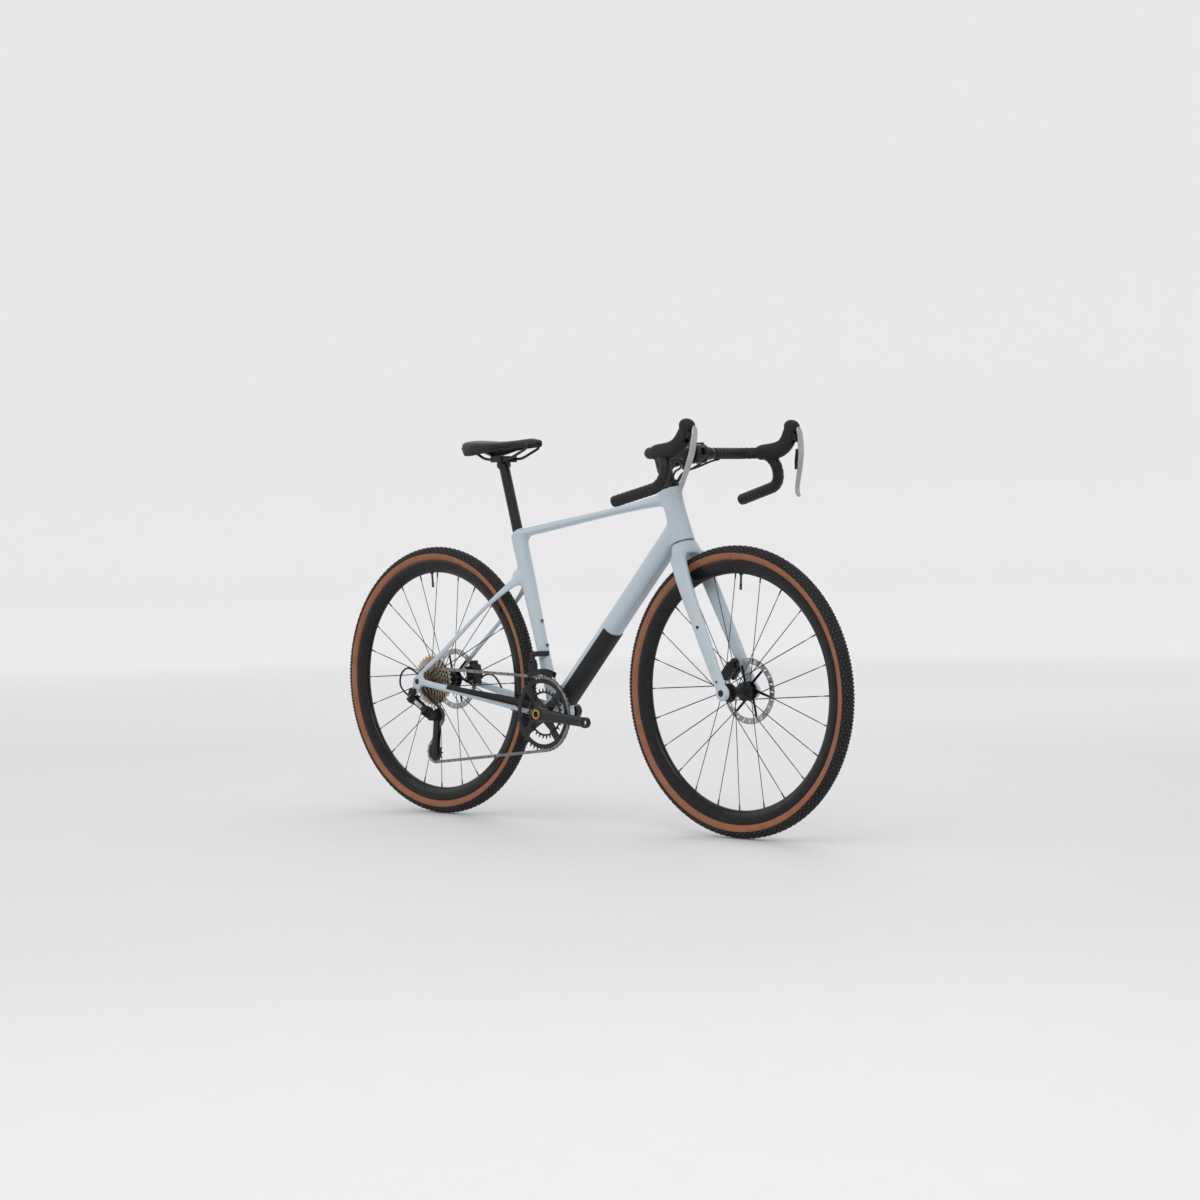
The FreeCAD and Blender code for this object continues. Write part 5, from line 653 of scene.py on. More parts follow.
rimForm = {
    "steps": 180,
    "half": ((0.283, 0), (0.2832, 0.0026), (0.2846, 0.0058), (0.2876, 0.0089), (0.2922, 0.0114),
             (0.2985, 0.0135), (0.3055, 0.0148), (0.3115, 0.0151), (0.3158, 0.0147), (0.317, 0.0141),
             (0.317, 0.0134), (0.312, 0.0133), (0.3078, 0.0062)),
}
tyreForm = {
    "centre": 0.33, "casing": 0.0184, "inner": 0.0168, "crown": 0.0188, "under": 0.0182, "tip": 0.0209,
    "sideTurn": 134, "treadTurn": 79, "steps": 180, "units": 122, "rib": 0.0005, "ribTurn": 116,
    "ribSpread": 3.4, "casingSteps": 48, "innerSteps": 24, "treadSteps": 28, "underSteps": 14,
    "knobRoot": 0.0006, "knobTaper": 0.74,
}
knobRows = (  # place along the tread, section angle, length, width, turn
    (-0.0045, -57, 0.0068, 0.0052, 0), (-0.0045, -28, 0.005, 0.005, 45), (-0.0045, 0, 0.0052, 0.0052, 45),
    (-0.0045, 28, 0.005, 0.005, 45), (-0.0045, 57, 0.0068, 0.0052, 0), (0.0045, -42, 0.0054, 0.0052, 20),
    (0.0045, -14, 0.005, 0.005, 45), (0.0045, 14, 0.005, 0.005, 45), (0.0045, 42, 0.0054, 0.0052, -20),
    (0.0045, -71, 0.0056, 0.0042, 0), (0.0045, 71, 0.0056, 0.0042, 0),
)


def mirroredProfile(half):
    return list(half) + [(radius, -place) for radius, place in reversed(half) if place]


def sectionArc(radius, start, end, steps):
    points = []
    for step in range(steps + 1):
        angle = math.radians(start + (end - start) * step / steps)
        points.append((tyreForm["centre"] + radius * math.cos(angle), radius * math.sin(angle)))
    return points


def casingProfile():
    turn, steps = tyreForm["sideTurn"], tyreForm["casingSteps"]
    outer = []
    for step in range(steps + 1):
        angle = -turn + 2 * turn * step / steps
        away = (abs(angle) - tyreForm["ribTurn"]) / tyreForm["ribSpread"]
        radius = tyreForm["casing"] + tyreForm["rib"] * math.exp(-away ** 2)
        outer += sectionArc(radius, angle, angle, 1)[:1]
    return outer + sectionArc(tyreForm["inner"], turn, -turn, tyreForm["innerSteps"])


def knob(along, angle, length, width, turn):
    rest()
    bpy.ops.mesh.primitive_cube_add(size=1)
    piece = bpy.context.object
    tall = tyreForm["tip"] - tyreForm["crown"] + tyreForm["knobRoot"]
    for vertex in piece.data.vertices:
        taper = tyreForm["knobTaper"] if vertex.co.z > 0 else 1
        vertex.co = Vector((vertex.co.x * length * taper, vertex.co.y * width * taper, vertex.co.z * tall))
    section = math.radians(angle)
    middle = (tyreForm["tip"] + tyreForm["crown"] - tyreForm["knobRoot"]) / 2
    lift = Matrix.Translation((along, 0, middle))
    lean = Matrix.Translation((0, 0, tyreForm["centre"])) @ Matrix.Rotation(-section, 4, "X")
    piece.data.transform(lean @ lift @ Matrix.Rotation(math.radians(turn), 4, "Z"))
    return piece


def treadKnobs():
    unit = joined("tread_knobs", [knob(*row) for row in knobRows])
    rest()
    bpy.ops.object.empty_add()
    hub = bpy.context.object
    hub.rotation_euler = (0, 2 * math.pi / tyreForm["units"], 0)
    press(unit, "ARRAY", count=tyreForm["units"], use_relative_offset=False, use_object_offset=True,
          offset_object=hub)
    bpy.data.objects.remove(hub)
    return unit


spokeForm = {
    "count": 24, "cross": 58, "root": 0.02, "lead": 0.002, "reach": 0.2858, "rimOffset": 0.0024, "around": 8,
    "front": {-1: 0.033, 1: 0.021}, "rear": {-1: 0.0185, 1: 0.034},
    # from which end, distance from it, half width, half thickness
    "rows": ((0, 0, 0.0009, 0.0009), (0, 0.014, 0.0009, 0.0009), (0, 0.024, 0.00125, 0.00055),
             (1, -0.04, 0.00125, 0.00055), (1, -0.03, 0.0009, 0.0009), (1, -0.0161, 0.0009, 0.0009),
             (1, -0.016, 0.0016, 0.0016), (1, -0.004, 0.002, 0.002), (1, 0, 0.002, 0.002)),
}


def spoke(start, end):
    along = (end - start).normalized()
    length = (end - start).length
    wide = along.cross(acrossY).normalized()
    thin = wide.cross(along)
    rows = spokeForm["rows"]

    def place(share, turn):
        fromEnd, away, halfWide, halfThin = rows[round(share * (len(rows) - 1))]
        spot = start + along * (length * fromEnd + away)
        return ringPoint(spot, wide, thin, turn, halfWide, halfThin)

    return rolled("spoke", spokeForm["around"], len(rows) - 1, place)


def wheelSpokes(name, axle):
    pieces = []
    count = spokeForm["count"]
    for index in range(count):
        side = 1 if index % 2 else -1
        lead = 1 if (index // 2) % 2 else -1
        rimTurn = 2 * math.pi * index / count
        hubTurn = rimTurn + lead * math.radians(spokeForm["cross"])
        rootPlace = side * spokeForm[name][side] + lead * spokeForm["lead"]
        rimPlace = side * spokeForm["rimOffset"]
        root, reach = spokeForm["root"], spokeForm["reach"]
        start = axle + Vector((root * math.cos(hubTurn), rootPlace, root * math.sin(hubTurn)))
        end = axle + Vector((reach * math.cos(rimTurn), rimPlace, reach * math.sin(rimTurn)))
        pieces.append(spoke(start, end))
    return smoothed(joined(name + "_spoke_set", pieces), 40)


def makeWheels():
    rim = turned("rim_model", mirroredProfile(rimForm["half"]), Vector(), rimForm["steps"])
    casing = turned("casing_model", casingProfile(), Vector(), tyreForm["steps"])
    turn = tyreForm["treadTurn"]
    band = sectionArc(tyreForm["crown"], -turn, turn, tyreForm["treadSteps"])
    band += sectionArc(tyreForm["under"], turn, -turn, tyreForm["underSteps"])
    tread = turned("tread_model", band, Vector(), tyreForm["steps"])
    knobs = smoothed(treadKnobs(), 30)
    rows = (
        (rim, "rim", "rim", rimGloss, "black_rim"), (casing, "tyre_casing", "casing", tanSide, "tyre_side"),
        (tread, "tyre_tread", "tread", rubberBlack, "tyre_tread"),
        (knobs, "tyre_tread", "knobs", knobRubber, "tyre_tread"),
    )
    for name, axle in wheels:
        for model, node, label, material, slot in rows:
            piece = twin(model, Matrix.Translation(axle))
            piece.name = f"{name}_{label}_finish"
            dress(piece, material, slot, name + "_wheel", f"{name}_{node}")
        dress(wheelSpokes(name, axle), alloyBlack, "black_metal", name + "_wheel", name + "_spokes")
    for model in (rim, casing, tread, knobs):
        bpy.data.objects.remove(model)


makeWheels()
print("wheels built")


# Chain

chainForm = {
    "pitch": 0.0127, "end": 0.0042, "waist": 0.0031, "innerGap": 0.00235, "innerPlate": 0.00075,
    "outerPlate": 0.0008, "roller": 0.0038, "pin": 0.0017, "pinHalf": 0.0029, "cogLine": -0.0475,
    "ringLine": -0.0495, "outerPlace": 0.002225, "play": 0.0001, "sharp": 2.2, "plateSides": 28,
    "barrelSides": 12,
}


def islands(mesh):
    # The vertices of each separate solid of a mesh.
    lead = list(range(len(mesh.vertices)))

    def top(index):
        while lead[index] != index:
            lead[index] = lead[lead[index]]
            index = lead[index]
        return index

    for edge in mesh.edges:
        first, second = (top(index) for index in edge.vertices)
        lead[first] = second
    found = {}
    for vertex in mesh.vertices:
        found.setdefault(top(vertex.index), []).append(vertex.co.copy())
    return list(found.values())


def chainPlate(place, thick):
    rest()
    bpy.ops.mesh.primitive_circle_add(vertices=chainForm["plateSides"], radius=1, fill_type="NGON")
    piece = bpy.context.object
    half, sharp = chainForm["pitch"] / 2, chainForm["sharp"]
    for vertex in piece.data.vertices:
        turn = math.atan2(vertex.co.y, vertex.co.x)
        spread = abs(math.cos(turn)) * sharp
        reach = half * math.copysign(min(1, spread), math.cos(turn))
        pinch = chainForm["waist"] + (chainForm["end"] - chainForm["waist"]) * min(1, abs(reach) / half) ** 2
        out = max(0, spread - 1) / (sharp - 1) * math.pi / 2
        x = reach + math.copysign(chainForm["end"] * math.sin(out), reach)
        z = math.copysign(pinch * math.cos(out), vertex.co.y)
        vertex.co = Vector((x, place, z))
    editAll(piece)
    bpy.ops.mesh.extrude_region_move(TRANSFORM_OT_translate={"value": (0, thick, 0)})
    bpy.ops.mesh.select_all(action="SELECT")
    bpy.ops.mesh.normals_make_consistent(inside=False)
    rest()
    return piece


def chainBarrel(ahead, half, radius):
    rest()
    bpy.ops.mesh.primitive_cylinder_add(vertices=chainForm["barrelSides"], radius=radius, depth=2 * half,
                                        location=(ahead, 0, 0), rotation=(math.pi / 2, 0, 0))
    return settle(bpy.context.object)


def chainLink(gap, plate, barrelHalf, barrelRadius):
    half = chainForm["pitch"] / 2
    pieces = [chainPlate(gap / 2, plate), chainPlate(-gap / 2 - plate, plate)]
    pieces += [chainBarrel(side * half, barrelHalf, barrelRadius) for side in (-1, 1)]
    return joined("link_model", pieces)


def makeChain():
    source = nodeCopy("chain_source", "chain")
    solids = islands(source.data)
    bpy.data.objects.remove(source)
    inner = chainLink(chainForm["innerGap"], chainForm["innerPlate"], chainForm["innerGap"] / 2,
                      chainForm["roller"])
    outerGap = chainForm["innerGap"] + 2 * chainForm["innerPlate"] + chainForm["play"]
    outer = chainLink(outerGap, chainForm["outerPlate"], chainForm["pinHalf"], chainForm["pin"])
    links = []
    for points in solids:
        low = Vector([min(point[i] for point in points) for i in range(3)])
        high = Vector([max(point[i] for point in points) for i in range(3)])
        middle = (low + high) / 2
        spread = [point - middle for point in points]
        alongAhead = sum(away.x * away.x - away.z * away.z for away in spread)
        alongBoth = 2 * sum(away.x * away.z for away in spread)
        turn = Matrix.Rotation(-0.5 * math.atan2(alongBoth, alongAhead), 4, "Y")
        line = chainForm["cogLine"] + (chainForm["ringLine"] - chainForm["cogLine"]) * middle.x / bracket.x
        if high.y - low.y > chainForm["innerPlate"] * 3:  # an inner link is one solid
            links.append(twin(inner, Matrix.Translation(middle) @ turn))
        elif middle.y < line:  # an outer plate on the near side stands for its link
            links.append(twin(outer, Matrix.Translation(middle + acrossY * chainForm["outerPlace"]) @ turn))
    chain = smoothed(joined("chain_links", links), 30)
    bpy.data.objects.remove(inner)
    bpy.data.objects.remove(outer)
    return dress(chain, chainSteel, "steel", "frame", "chain")


makeChain()
print("chain linked")


# Bar tape

barForm = {
    "points": ((0.9224, 0, 0.92375), (0.9224, 0.184, 0.92375), (1.0064, 0.191, 0.92375),
               (1.0064, 0.211, 0.846), (0.866, 0.229, 0.811)),
    "bends": (0.04, 0.046, 0.042), "start": 0.062, "under": 0.0125, "lap": 0.0018, "pitch": 0.0135,
    "around": 26, "step": 0.0013, "coarse": 3, "tube": 0.0119, "tubeAround": 32, "bulge": 0.0159,
    "bulgeEnd": 0.062, "bulgeRun": 0.016, "ramp": 0.14, "droop": 0.55, "dip": 0.2, "dipAt": 0.99,
    "dipWide": 0.03, "tuck": 0.0006,
    "plug": ((0, 0.0121), (0.0008, 0.0131), (0.0022, 0.0131), (0.0034, 0.0118), (0.004, 0.0096),
             (0.0034, 0.0088), (0.0032, 0.0001)),
}


def bentLine(points, bends, step):
    # Points and directions, evenly spaced, along a line with rounded corners.
    spots = [points[0]]
    for corner, after, radius in zip(points[1:-1], points[2:], bends):
        back = (spots[-1] - corner).normalized()
        ahead = (after - corner).normalized()
        half = back.angle(ahead) / 2
        reach = radius / math.tan(half)
        centre = corner + (back + ahead).normalized() * (radius / math.sin(half))
        first = corner + back * reach - centre
        last = corner + ahead * reach - centre
        turns = 24
        for share in range(turns + 1):
            spots.append(centre + first.normalized().slerp(last.normalized(), share / turns) * radius)
    spots.append(points[-1])
    rows = [(spots[0], (spots[1] - spots[0]).normalized())]
    left = step
    for a, b in zip(spots, spots[1:]):
        run = (b - a).length
        if run < 1e-9:
            continue
        along = (b - a) / run
        while left <= run:
            rows.append((a + along * left, along))
            left += step
        left -= run
    return rows


def barStations(side, start, step):
    points = [Vector((x, side * y, z)) for x, y, z in barForm["points"]]
    points[0] = points[0] + acrossY * (side * start)
    return bentLine(points, barForm["bends"], step)


def carried(rows):
    # The cross directions along a line, without twist.
    frames = []
    across = Vector((0, 0, 1))
    for spot, along in rows:
        across = (across - along * across.dot(along)).normalized()
        frames.append((spot, across, along.cross(across)))
    return frames


def barHalf(name, side):
    frames = carried(barStations(side, 0, barForm["coarse"] * barForm["step"]))

    def place(share, turn):
        spot, across, other = frames[round(share * (len(frames) - 1))]
        swell = min(1, max(0, (barForm["bulgeEnd"] - abs(spot.y)) / barForm["bulgeRun"]))
        radius = barForm["tube"] + (barForm["bulge"] - barForm["tube"]) * swell
        return ringPoint(spot, across, other, turn, radius)

    half = rolled(name + "_bar_half", barForm["tubeAround"], len(frames) - 1, place)
    dress(smoothed(half, 40), alloyBlack, "black_alloy", "steering", "handlebar")


def tapeSide(name, side):
    rows = barStations(side, barForm["start"], barForm["step"])
    frames = carried(rows)
    last = len(rows) - 1

    def place(share, turn):
        row = round(share * last)
        wrap = (row * barForm["step"] / barForm["pitch"] + side * turn / (2 * math.pi)) % 1
        ramp = barForm["ramp"]
        rise = wrap / ramp if wrap < ramp else 1 - barForm["droop"] * (wrap - ramp) / (1 - ramp)
        dip = barForm["dip"] * math.exp(-((wrap - barForm["dipAt"]) / barForm["dipWide"]) ** 2)
        radius = barForm["under"] + barForm["lap"] * (rise - dip)
        if row in (0, last):
            radius = barForm["under"] - barForm["tuck"]
        return ringPoint(*frames[row], turn, radius)

    tape = smoothed(rolled(name + "_tape", barForm["around"], last, place), 50)
    dress(tape, tapeBlack, "bar_tape", "steering", "bar_tape")
    x, y, z = barForm["points"][-1]
    end, along = Vector((x, side * y, z)), rows[-1][1]
    across, other = frames[-1][1:]
    plugRows = barForm["plug"]

    def plugPlace(share, turn):
        away, radius = plugRows[round(share * (len(plugRows) - 1))]
        return ringPoint(end + along * away, across, other, turn, radius)

    plug = rolled(name + "_bar_plug", barForm["tubeAround"], len(plugRows) - 1, plugPlace)
    dress(smoothed(plug, 40), plasticBlack, "black_guard", "steering")


for name, side in sides:
    barHalf(name, side)
    tapeSide(name, side)
print("bar bent and tape wrapped")


# Hoods and levers

hoodForm = {
    "voxel": 0.0012, "fill": 0.0025, "swell": 0.0012, "calm": 9, "knob": (1.0655, 0.1885, 0.985),
    "half": (0.0195, 0.0175, 0.0155), "tilt": 14,
}
leverForm = {
    "pivot": (1.0764, 0.19, 0.96175), "lean": 9.5, "length": 0.146, "sweep": 0.02, "around": 20, "along": 54,
    "power": 0.75, "probe": 0.02, "calm": 3,
    # share down the blade, share of the sweep, half width, half thickness
    "rows": ((-0.15, 0.5, 0.003, 0.0012), (-0.14, 0.52, 0.0062, 0.0026), (-0.1, 0.58, 0.0086, 0.0038),
             (-0.02, 0.66, 0.0096, 0.0038), (0.08, 0.64, 0.01, 0.0037), (0.3, 0.5, 0.0098, 0.0035),
             (0.55, 0.0, 0.009, 0.0033), (0.85, -0.75, 0.0076, 0.0031), (0.95, -0.84, 0.007, 0.0034),
             (1.0, -0.66, 0.0056, 0.003), (1.012, -0.56, 0.0026, 0.0016)),
}


def makeHoods():
    parts = [nodeCopy("hood_rubber", "lever_hoods")]
    x, y, z = hoodForm["knob"]
    for name, side in sides:
        rest()
        bpy.ops.mesh.primitive_uv_sphere_add(segments=32, ring_count=16, radius=1, location=(x, side * y, z),
                                             scale=hoodForm["half"],
                                             rotation=(0, math.radians(hoodForm["tilt"]), 0))
        parts.append(settle(bpy.context.object))
    piece = filled(joined("hood_rubber", parts), hoodForm["voxel"], hoodForm["fill"], hoodForm["swell"])
    dress(calmed(piece, hoodForm["calm"]), hoodBlack, "hood_rubber", "steering", "lever_hoods")


def leverBlade(name, side):
    x, y, z = leverForm["pivot"]
    lean = math.radians(leverForm["lean"])
    across = Vector((0, math.cos(lean), side * math.sin(lean)))
    down = Vector((0, side * math.sin(lean), -math.cos(lean)))
    rows = [(index / (len(leverForm["rows"]) - 1), *row) for index, row in enumerate(leverForm["rows"])]

    def spine(share):
        fall, ahead, wide, thick = between(rows, share)
        spot = Vector((x, side * y, z)) + down * (leverForm["length"] * fall)
        return spot + Vector((leverForm["sweep"] * ahead, 0, 0)), wide, thick

    def place(share, turn):
        spot, wide, thick = spine(share)
        probe, power = leverForm["probe"], leverForm["power"]
        along = spine(min(1, share + probe))[0] - spine(max(0, share - probe))[0]
        front = across.cross(along).normalized()
        aside, rise = signedPower(math.cos(turn), power), signedPower(math.sin(turn), power)
        return spot + across * (wide * aside) + front * (thick * rise)

    blade = rolled(name + "_lever_blade", leverForm["around"], leverForm["along"], place)
    lever = name + "_brake_lever"
    dress(calmed(blade, leverForm["calm"]), leverGrey, "grey_alloy", lever, lever)


makeHoods()
for name, side in sides:
    leverBlade(name, side)
print("hoods and levers formed")


# Hoses

hoseForm = {"thick": 0.005}
hoseRoutes = {
    "inner_hose": ((0.9224, 0.082, 0.90905), (0.9224, 0.062, 0.90805), (0.9004, 0.026, 0.88975),
                   (0.85602, 0.01361, 0.87985), (0.84939, 0.00749, 0.85124)),
    "outer_hose": ((0.91036, 0.082, 0.91531), (0.90954, 0.062, 0.91474), (0.8824, 0.036, 0.88975),
                   (0.84525, 0.02864, 0.87635), (0.84346, 0.01576, 0.84931)),
}
frameRoutes = {
    "rear_brake_hose": ((0.176, 0.055, 0.33), (0.16, 0.056, 0.352), (0.138, 0.058, 0.366),
                        (0.112, 0.058, 0.366), (0.096, 0.057, 0.357)),
    "shift_housing": ((0, -0.075, 0.366), (-0.032, -0.0765, 0.389), (-0.06, -0.079, 0.379),
                      (-0.07, -0.082, 0.354), (-0.06, -0.085, 0.328), (-0.033, -0.084, 0.313)),
}


def hose(label, points, body, node):
    data = bpy.data.curves.new(label, "CURVE")
    data.dimensions = "3D"
    spline = data.splines.new("NURBS")
    spline.points.add(len(points) - 1)
    for spot, point in zip(spline.points, points):
        spot.co = (*point, 1)
    spline.order_u = 3
    spline.use_endpoint_u = True
    spline.resolution_u = 16
    data.bevel_depth = hoseForm["thick"] / 2
    data.bevel_resolution = 5
    data.use_fill_caps = True
    piece = dress(linked(label, data), hoseBlack, "hose", body, node)
    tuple(points[0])


for name, side in sides:
    for label, points in hoseRoutes.items():
        route = [(x, side * y, z) for x, y, z in points]
        hose(f"{name}_{label}", route, "steering", "steering_hoses")
for label, points in frameRoutes.items():
    hose(label, points, "frame", "frame_hoses")
print("hoses run")


# Saddle

saddleForm = {
    "tail": 0.137, "length": 0.256, "along": 56, "around": 48, "deep": 0.012, "wall": 0.003, "power": 0.8,
    "tuck": 0.26, "tuckPower": 1.5, "thinnest": 0.001, "calm": 6, "shrink": 0.0008, "pressure": 4,
    "steps": 20, "cap": 0.0016, "lastCalm": 4, "fill": 0.85,
    # share of the length, half width, top, skirt
    "rows": ((0, 0.036, 0.972, 0.961), (0.03, 0.055, 0.975, 0.949), (0.1, 0.0695, 0.976, 0.9395),
             (0.22, 0.072, 0.9745, 0.9405), (0.38, 0.06, 0.9715, 0.948), (0.54, 0.042, 0.9705, 0.9545),
             (0.7, 0.0285, 0.9725, 0.958), (0.86, 0.0215, 0.9755, 0.96), (0.95, 0.0175, 0.9755, 0.962),
             (1, 0.009, 0.9725, 0.964)),
}
railForm = {
    "side": 0.022, "radius": 0.0035, "around": 14, "step": 0.004, "bends": (0.012, 0.06, 0.06, 0.012),
    "points": ((0.157, 0.966), (0.16274, 0.94968), (0.21114, 0.92568), (0.29914, 0.92568),
               (0.35854, 0.94968), (0.366, 0.963)),
}


def padForm(label, lift, drop):
    # A pad between its top, less a lift, and its hollow underside, less a drop.
    def place(share, turn):
        wide, top, skirt = between(saddleForm["rows"], share)
        arch = abs(math.sin(turn)) ** saddleForm["power"]
        aside = signedPower(math.cos(turn), saddleForm["power"])
        aside *= 1 - saddleForm["tuck"] * (1 - arch) ** saddleForm["tuckPower"]
        crown = top - skirt
        if math.sin(turn) < 0:
            crown = max(saddleForm["thinnest"], crown - saddleForm["deep"])
        level = skirt + crown * arch - (drop if math.sin(turn) < 0 else lift)
        return Vector((saddleForm["tail"] + saddleForm["length"] * share, (wide - lift / 2) * aside, level))

    return rolled(label, saddleForm["around"], saddleForm["along"], place)


def saddleRails():
    rails = []
    for name, side in sides:
        points = [Vector((x, side * railForm["side"], z)) for x, z in railForm["points"]]
        frames = carried(bentLine(points, railForm["bends"], railForm["step"]))

        def place(share, turn):
            return ringPoint(*frames[round(share * (len(frames) - 1))], turn, railForm["radius"])

        rails.append(rolled(name + "_rail", railForm["around"], len(frames) - 1, place))
    dress(smoothed(joined("saddle_rails", rails), 60), postBlack, "black_metal", "saddle", "saddle_base")


def puffed(piece):
    starts = [vertex.co.copy() for vertex in piece.data.vertices]
    pick(piece)
    cloth = piece.modifiers.new("cloth", "CLOTH")
    cloth.settings.use_pressure = True
    cloth.settings.uniform_pressure_force = saddleForm["pressure"]
    cloth.settings.effector_weights.gravity = 0
    for step in range(1, saddleForm["steps"] + 1):
        bpy.context.scene.frame_set(step)
    bpy.ops.object.modifier_apply(modifier=cloth.name)
    for vertex, start in zip(piece.data.vertices, starts):
        move = vertex.co - start
        vertex.co = start + move * min(1, saddleForm["cap"] / max(move.length, 1e-9))
    bpy.context.scene.frame_set(1)
    return piece


cover = calmed(padForm("saddle_pad", 0, 0), saddleForm["calm"])
dress(cover, saddleSkin, "saddle_cover", "saddle", "saddle_cover")
shell = padForm("saddle_shell", saddleForm["deep"] - saddleForm["wall"], saddleForm["wall"])
dress(calmed(shell, saddleForm["calm"]), plasticBlack, "black_guard", "saddle", "saddle_base")
saddleRails()
press(cover, "DISPLACE", strength=-saddleForm["shrink"], mid_level=0)
puffed(cover)
press(cover, "SUBSURF", levels=1, render_levels=1)
press(cover, "SMOOTH", factor=0.5, iterations=saddleForm["lastCalm"])
print("saddle covered")


# Bolts, rings and small hardware

boltForm = {"sides": 12, "rim": 0.1, "key": 0.52, "deep": 0.55, "near": 0.9, "far": 0.2}
steerUp = Vector((-0.30902, 0, 0.95106))
faceOut = Vector((0.978, 0, 0.2079))
seatAhead = Vector((0.96363, 0, 0.26724))
boltRows = (  # body, foot of the head, way out, radius, height
    ("steering", (0.9353, -0.015, 0.905), faceOut, 0.0041, 0.0061),
    ("steering", (0.9353, 0.015, 0.905), faceOut, 0.0041, 0.0061),
    ("steering", (0.9266, -0.015, 0.9461), faceOut, 0.0041, 0.0061),
    ("steering", (0.9266, 0.015, 0.9461), faceOut, 0.0041, 0.0061),
    ("steering", (0.80615, 0, 0.9242), steerUp, 0.0046, 0.0024),
    ("steering", (1.045, -0.0632, 0.351), -acrossY, 0.0086, 0.0014),
    ("frame", (0.40079, 0, 0.45034), seatAhead, 0.0043, 0.0028),
    ("frame", (0.38369, 0, 0.51201), seatAhead, 0.0043, 0.0028),
    ("frame", (0, -0.0852, 0.351), -acrossY, 0.0092, 0.002),
    ("frame", (-0.009, -0.0972, 0.324), -acrossY, 0.0064, 0.0022),
    ("rd_cage", (0.02821, -0.0532, 0.1655), -acrossY, 0.0044, 0.0016),
    ("rd_p_knuckle", (0.038, -0.0752, 0.261), -acrossY, 0.0058, 0.0018),
    ("crankset", (0.43018, -0.0736, 0.28), -acrossY, 0.0075, 0.0012),
    ("crankset", (0.4723, -0.0503, 0.3154), -acrossY, 0.0051, 0.0021),
    ("crankset", (0.3948, -0.0503, 0.3221), -acrossY, 0.0051, 0.0021),
    ("crankset", (0.388, -0.0503, 0.2446), -acrossY, 0.0051, 0.0021),
    ("crankset", (0.4655, -0.0503, 0.2379), -acrossY, 0.0051, 0.0021),
)
legBolts = ((0.971, 0.507, 0.0078, 0.003), (1.032, 0.378, 0.006, 0.0026))  # ahead, up, radius, height


def boltModel():
    rest()
    bpy.ops.mesh.primitive_cylinder_add(vertices=boltForm["sides"], radius=1, depth=1, location=(0, 0, 0.5))
    piece = settle(bpy.context.object)
    for face in piece.data.polygons:
        face.select = face.normal.z > boltForm["near"]
    bpy.ops.object.mode_set(mode="EDIT")
    bpy.ops.mesh.select_mode(type="FACE")
    bpy.ops.mesh.inset(thickness=boltForm["rim"], depth=0)
    bpy.ops.mesh.inset(thickness=1 - boltForm["rim"] - boltForm["key"], depth=0)
    bpy.ops.object.mode_set(mode="OBJECT")
    step = 2 * math.pi / 6
    for vertex in piece.data.vertices:
        if vertex.select:  # the inner ring becomes a hexagon
            turn = math.atan2(vertex.co.y, vertex.co.x)
            flat = math.cos(step / 2) / math.cos(turn % step - step / 2)
            vertex.co.x = boltForm["key"] * flat * math.cos(turn)
            vertex.co.y = boltForm["key"] * flat * math.sin(turn)
        elif vertex.co.z > boltForm["near"] and vertex.co.xy.length > 1 - boltForm["rim"] / 2:
            vertex.co.z = 1 - boltForm["rim"]  # the outer edge is broken
    bpy.ops.object.mode_set(mode="EDIT")
    bpy.ops.mesh.extrude_region_move(TRANSFORM_OT_translate={"value": (0, 0, -boltForm["deep"])})
    rest()
    piece.name = "bolt_model"
    return smoothed(piece, 38)


def setBolts():
    model = boltModel()
    sets = {}

    def fitted(body, foot, out, radius, tall):
        turn = out.to_track_quat("Z", "Y").to_matrix().to_4x4()
        size = Matrix.Diagonal((radius, radius, tall, 1))
        sets.setdefault(body, []).append(twin(model, Matrix.Translation(foot) @ turn @ size))

    for x, z, radius, tall in legBolts:  # set into the leg's own surface
        for name, side in sides:
            spot, normal = fork.ray_cast((x, side * boltForm["far"], z), (0, -side, 0))[1:3]
            fitted("steering", spot - normal * (tall / 2), normal, radius, tall)
    for row in boltRows:
        fitted(*row)
    for body, pieces in sets.items():
        dress(joined(body + "_socket_bolts", pieces), boltBlack, "black_metal", body)
    bpy.data.objects.remove(model)


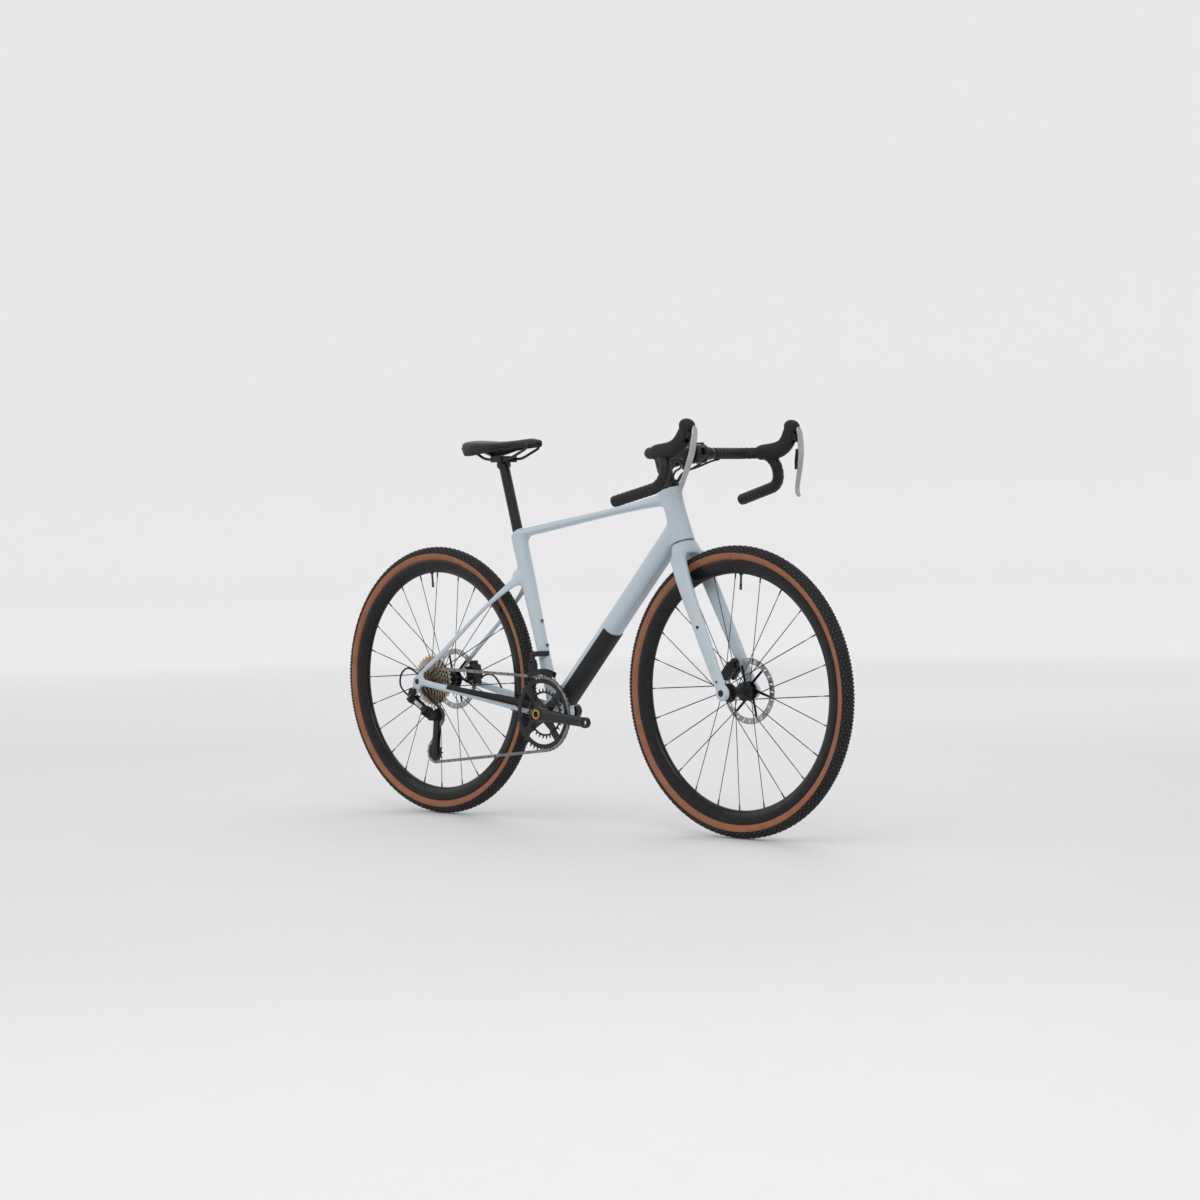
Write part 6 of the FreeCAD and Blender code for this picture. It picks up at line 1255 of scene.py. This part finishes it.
ringForm = {
    # profiles of radius and place along the axis
    "lock": ((0.0098, 0.001), (0.0098, 0.0042), (0.0158, 0.0042), (0.0176, 0.0037), (0.0196, 0.0019),
             (0.0196, 0.001)),
    "gold": ((0.0076, -0.0738), (0.0076, -0.0746), (0.008, -0.075), (0.0123, -0.075), (0.0127, -0.0746),
             (0.0127, -0.0738)),
    "boss": ((0.0002, 0.0002), (0.0025, 0.0002), (0.0025, 0.0011), (0.0046, 0.0011), (0.0055, 0.0006),
             (0.0055, -0.0008), (0.0002, -0.0008)),
    "bosses": ((0.56773, 0, 0.46616), (0.6113, 0, 0.51304)), "bossUp": (-0.7326, 0, 0.6806),
    "frontRotor": 0.0394, "rearRotor": 0.0553, "steps": 64, "bossSteps": 32,
}
goldRing = finish("gold_ring", (0.42, 0.24, 0.07), (0.5, 0.3, 0.1), (0.22, 0.34), metal=1, scale=1500,
                  bump=0.05)


def setRings():
    for name, axle in wheels:
        place = acrossY * ringForm[name + "Rotor"]
        ring = turned(name + "_lock_ring", ringForm["lock"], axle + place, ringForm["steps"])
        dress(ring, alloyBlack, "black_alloy", name + "_wheel")
    inserts = []
    turn = Vector(ringForm["bossUp"]).to_track_quat("Y", "Z").to_matrix().to_4x4()
    for place in ringForm["bosses"]:
        insert = turned("boss_insert", ringForm["boss"], Vector(), ringForm["bossSteps"])
        insert.data.transform(Matrix.Translation(place) @ turn)
        inserts.append(insert)
    dress(joined("boss_inserts", inserts), boltBlack, "black_metal", "frame")
    gold = turned("crank_gold_ring", ringForm["gold"], bracket, ringForm["steps"])
    dress(gold, goldRing, "gold_steel", "crankset")


linkForm = {
    "top": (-0.02362, -0.08026, 0.30636), "low": (0.02556, -0.08026, 0.27563),
    "inward": (-0.181, 0.94, -0.29), "away": 0.05, "size": (0.03, 0.0095, 0.0012), "edge": 0.0025,
    "steps": 3,
}


def setLinkPlate():
    # A bright plate on the face of the rear derailleur's outer link.
    top, low, inward = (Vector(linkForm[key]) for key in ("top", "low", "inward"))
    link = bpy.data.objects["rd_outer_link_cast"]
    spot = link.ray_cast((top + low) / 2 - inward * linkForm["away"], inward)[1]
    along = (low - top).normalized()
    out = -(inward - along * inward.dot(along)).normalized()
    rest()
    bpy.ops.mesh.primitive_cube_add(size=1, scale=linkForm["size"])
    plate = settle(bpy.context.object)
    plate.name = "rd_link_plate"
    press(plate, "BEVEL", width=linkForm["edge"], segments=linkForm["steps"], limit_method="NONE")
    turn = Matrix((along, out.cross(along), out)).transposed().to_4x4()
    plate.data.transform(Matrix.Translation(spot) @ turn)
    dress(smoothed(plate, 40), leverGrey, "grey_alloy", "rd_outer_link")


setBolts()
setRings()
setLinkPlate()
print("hardware set")
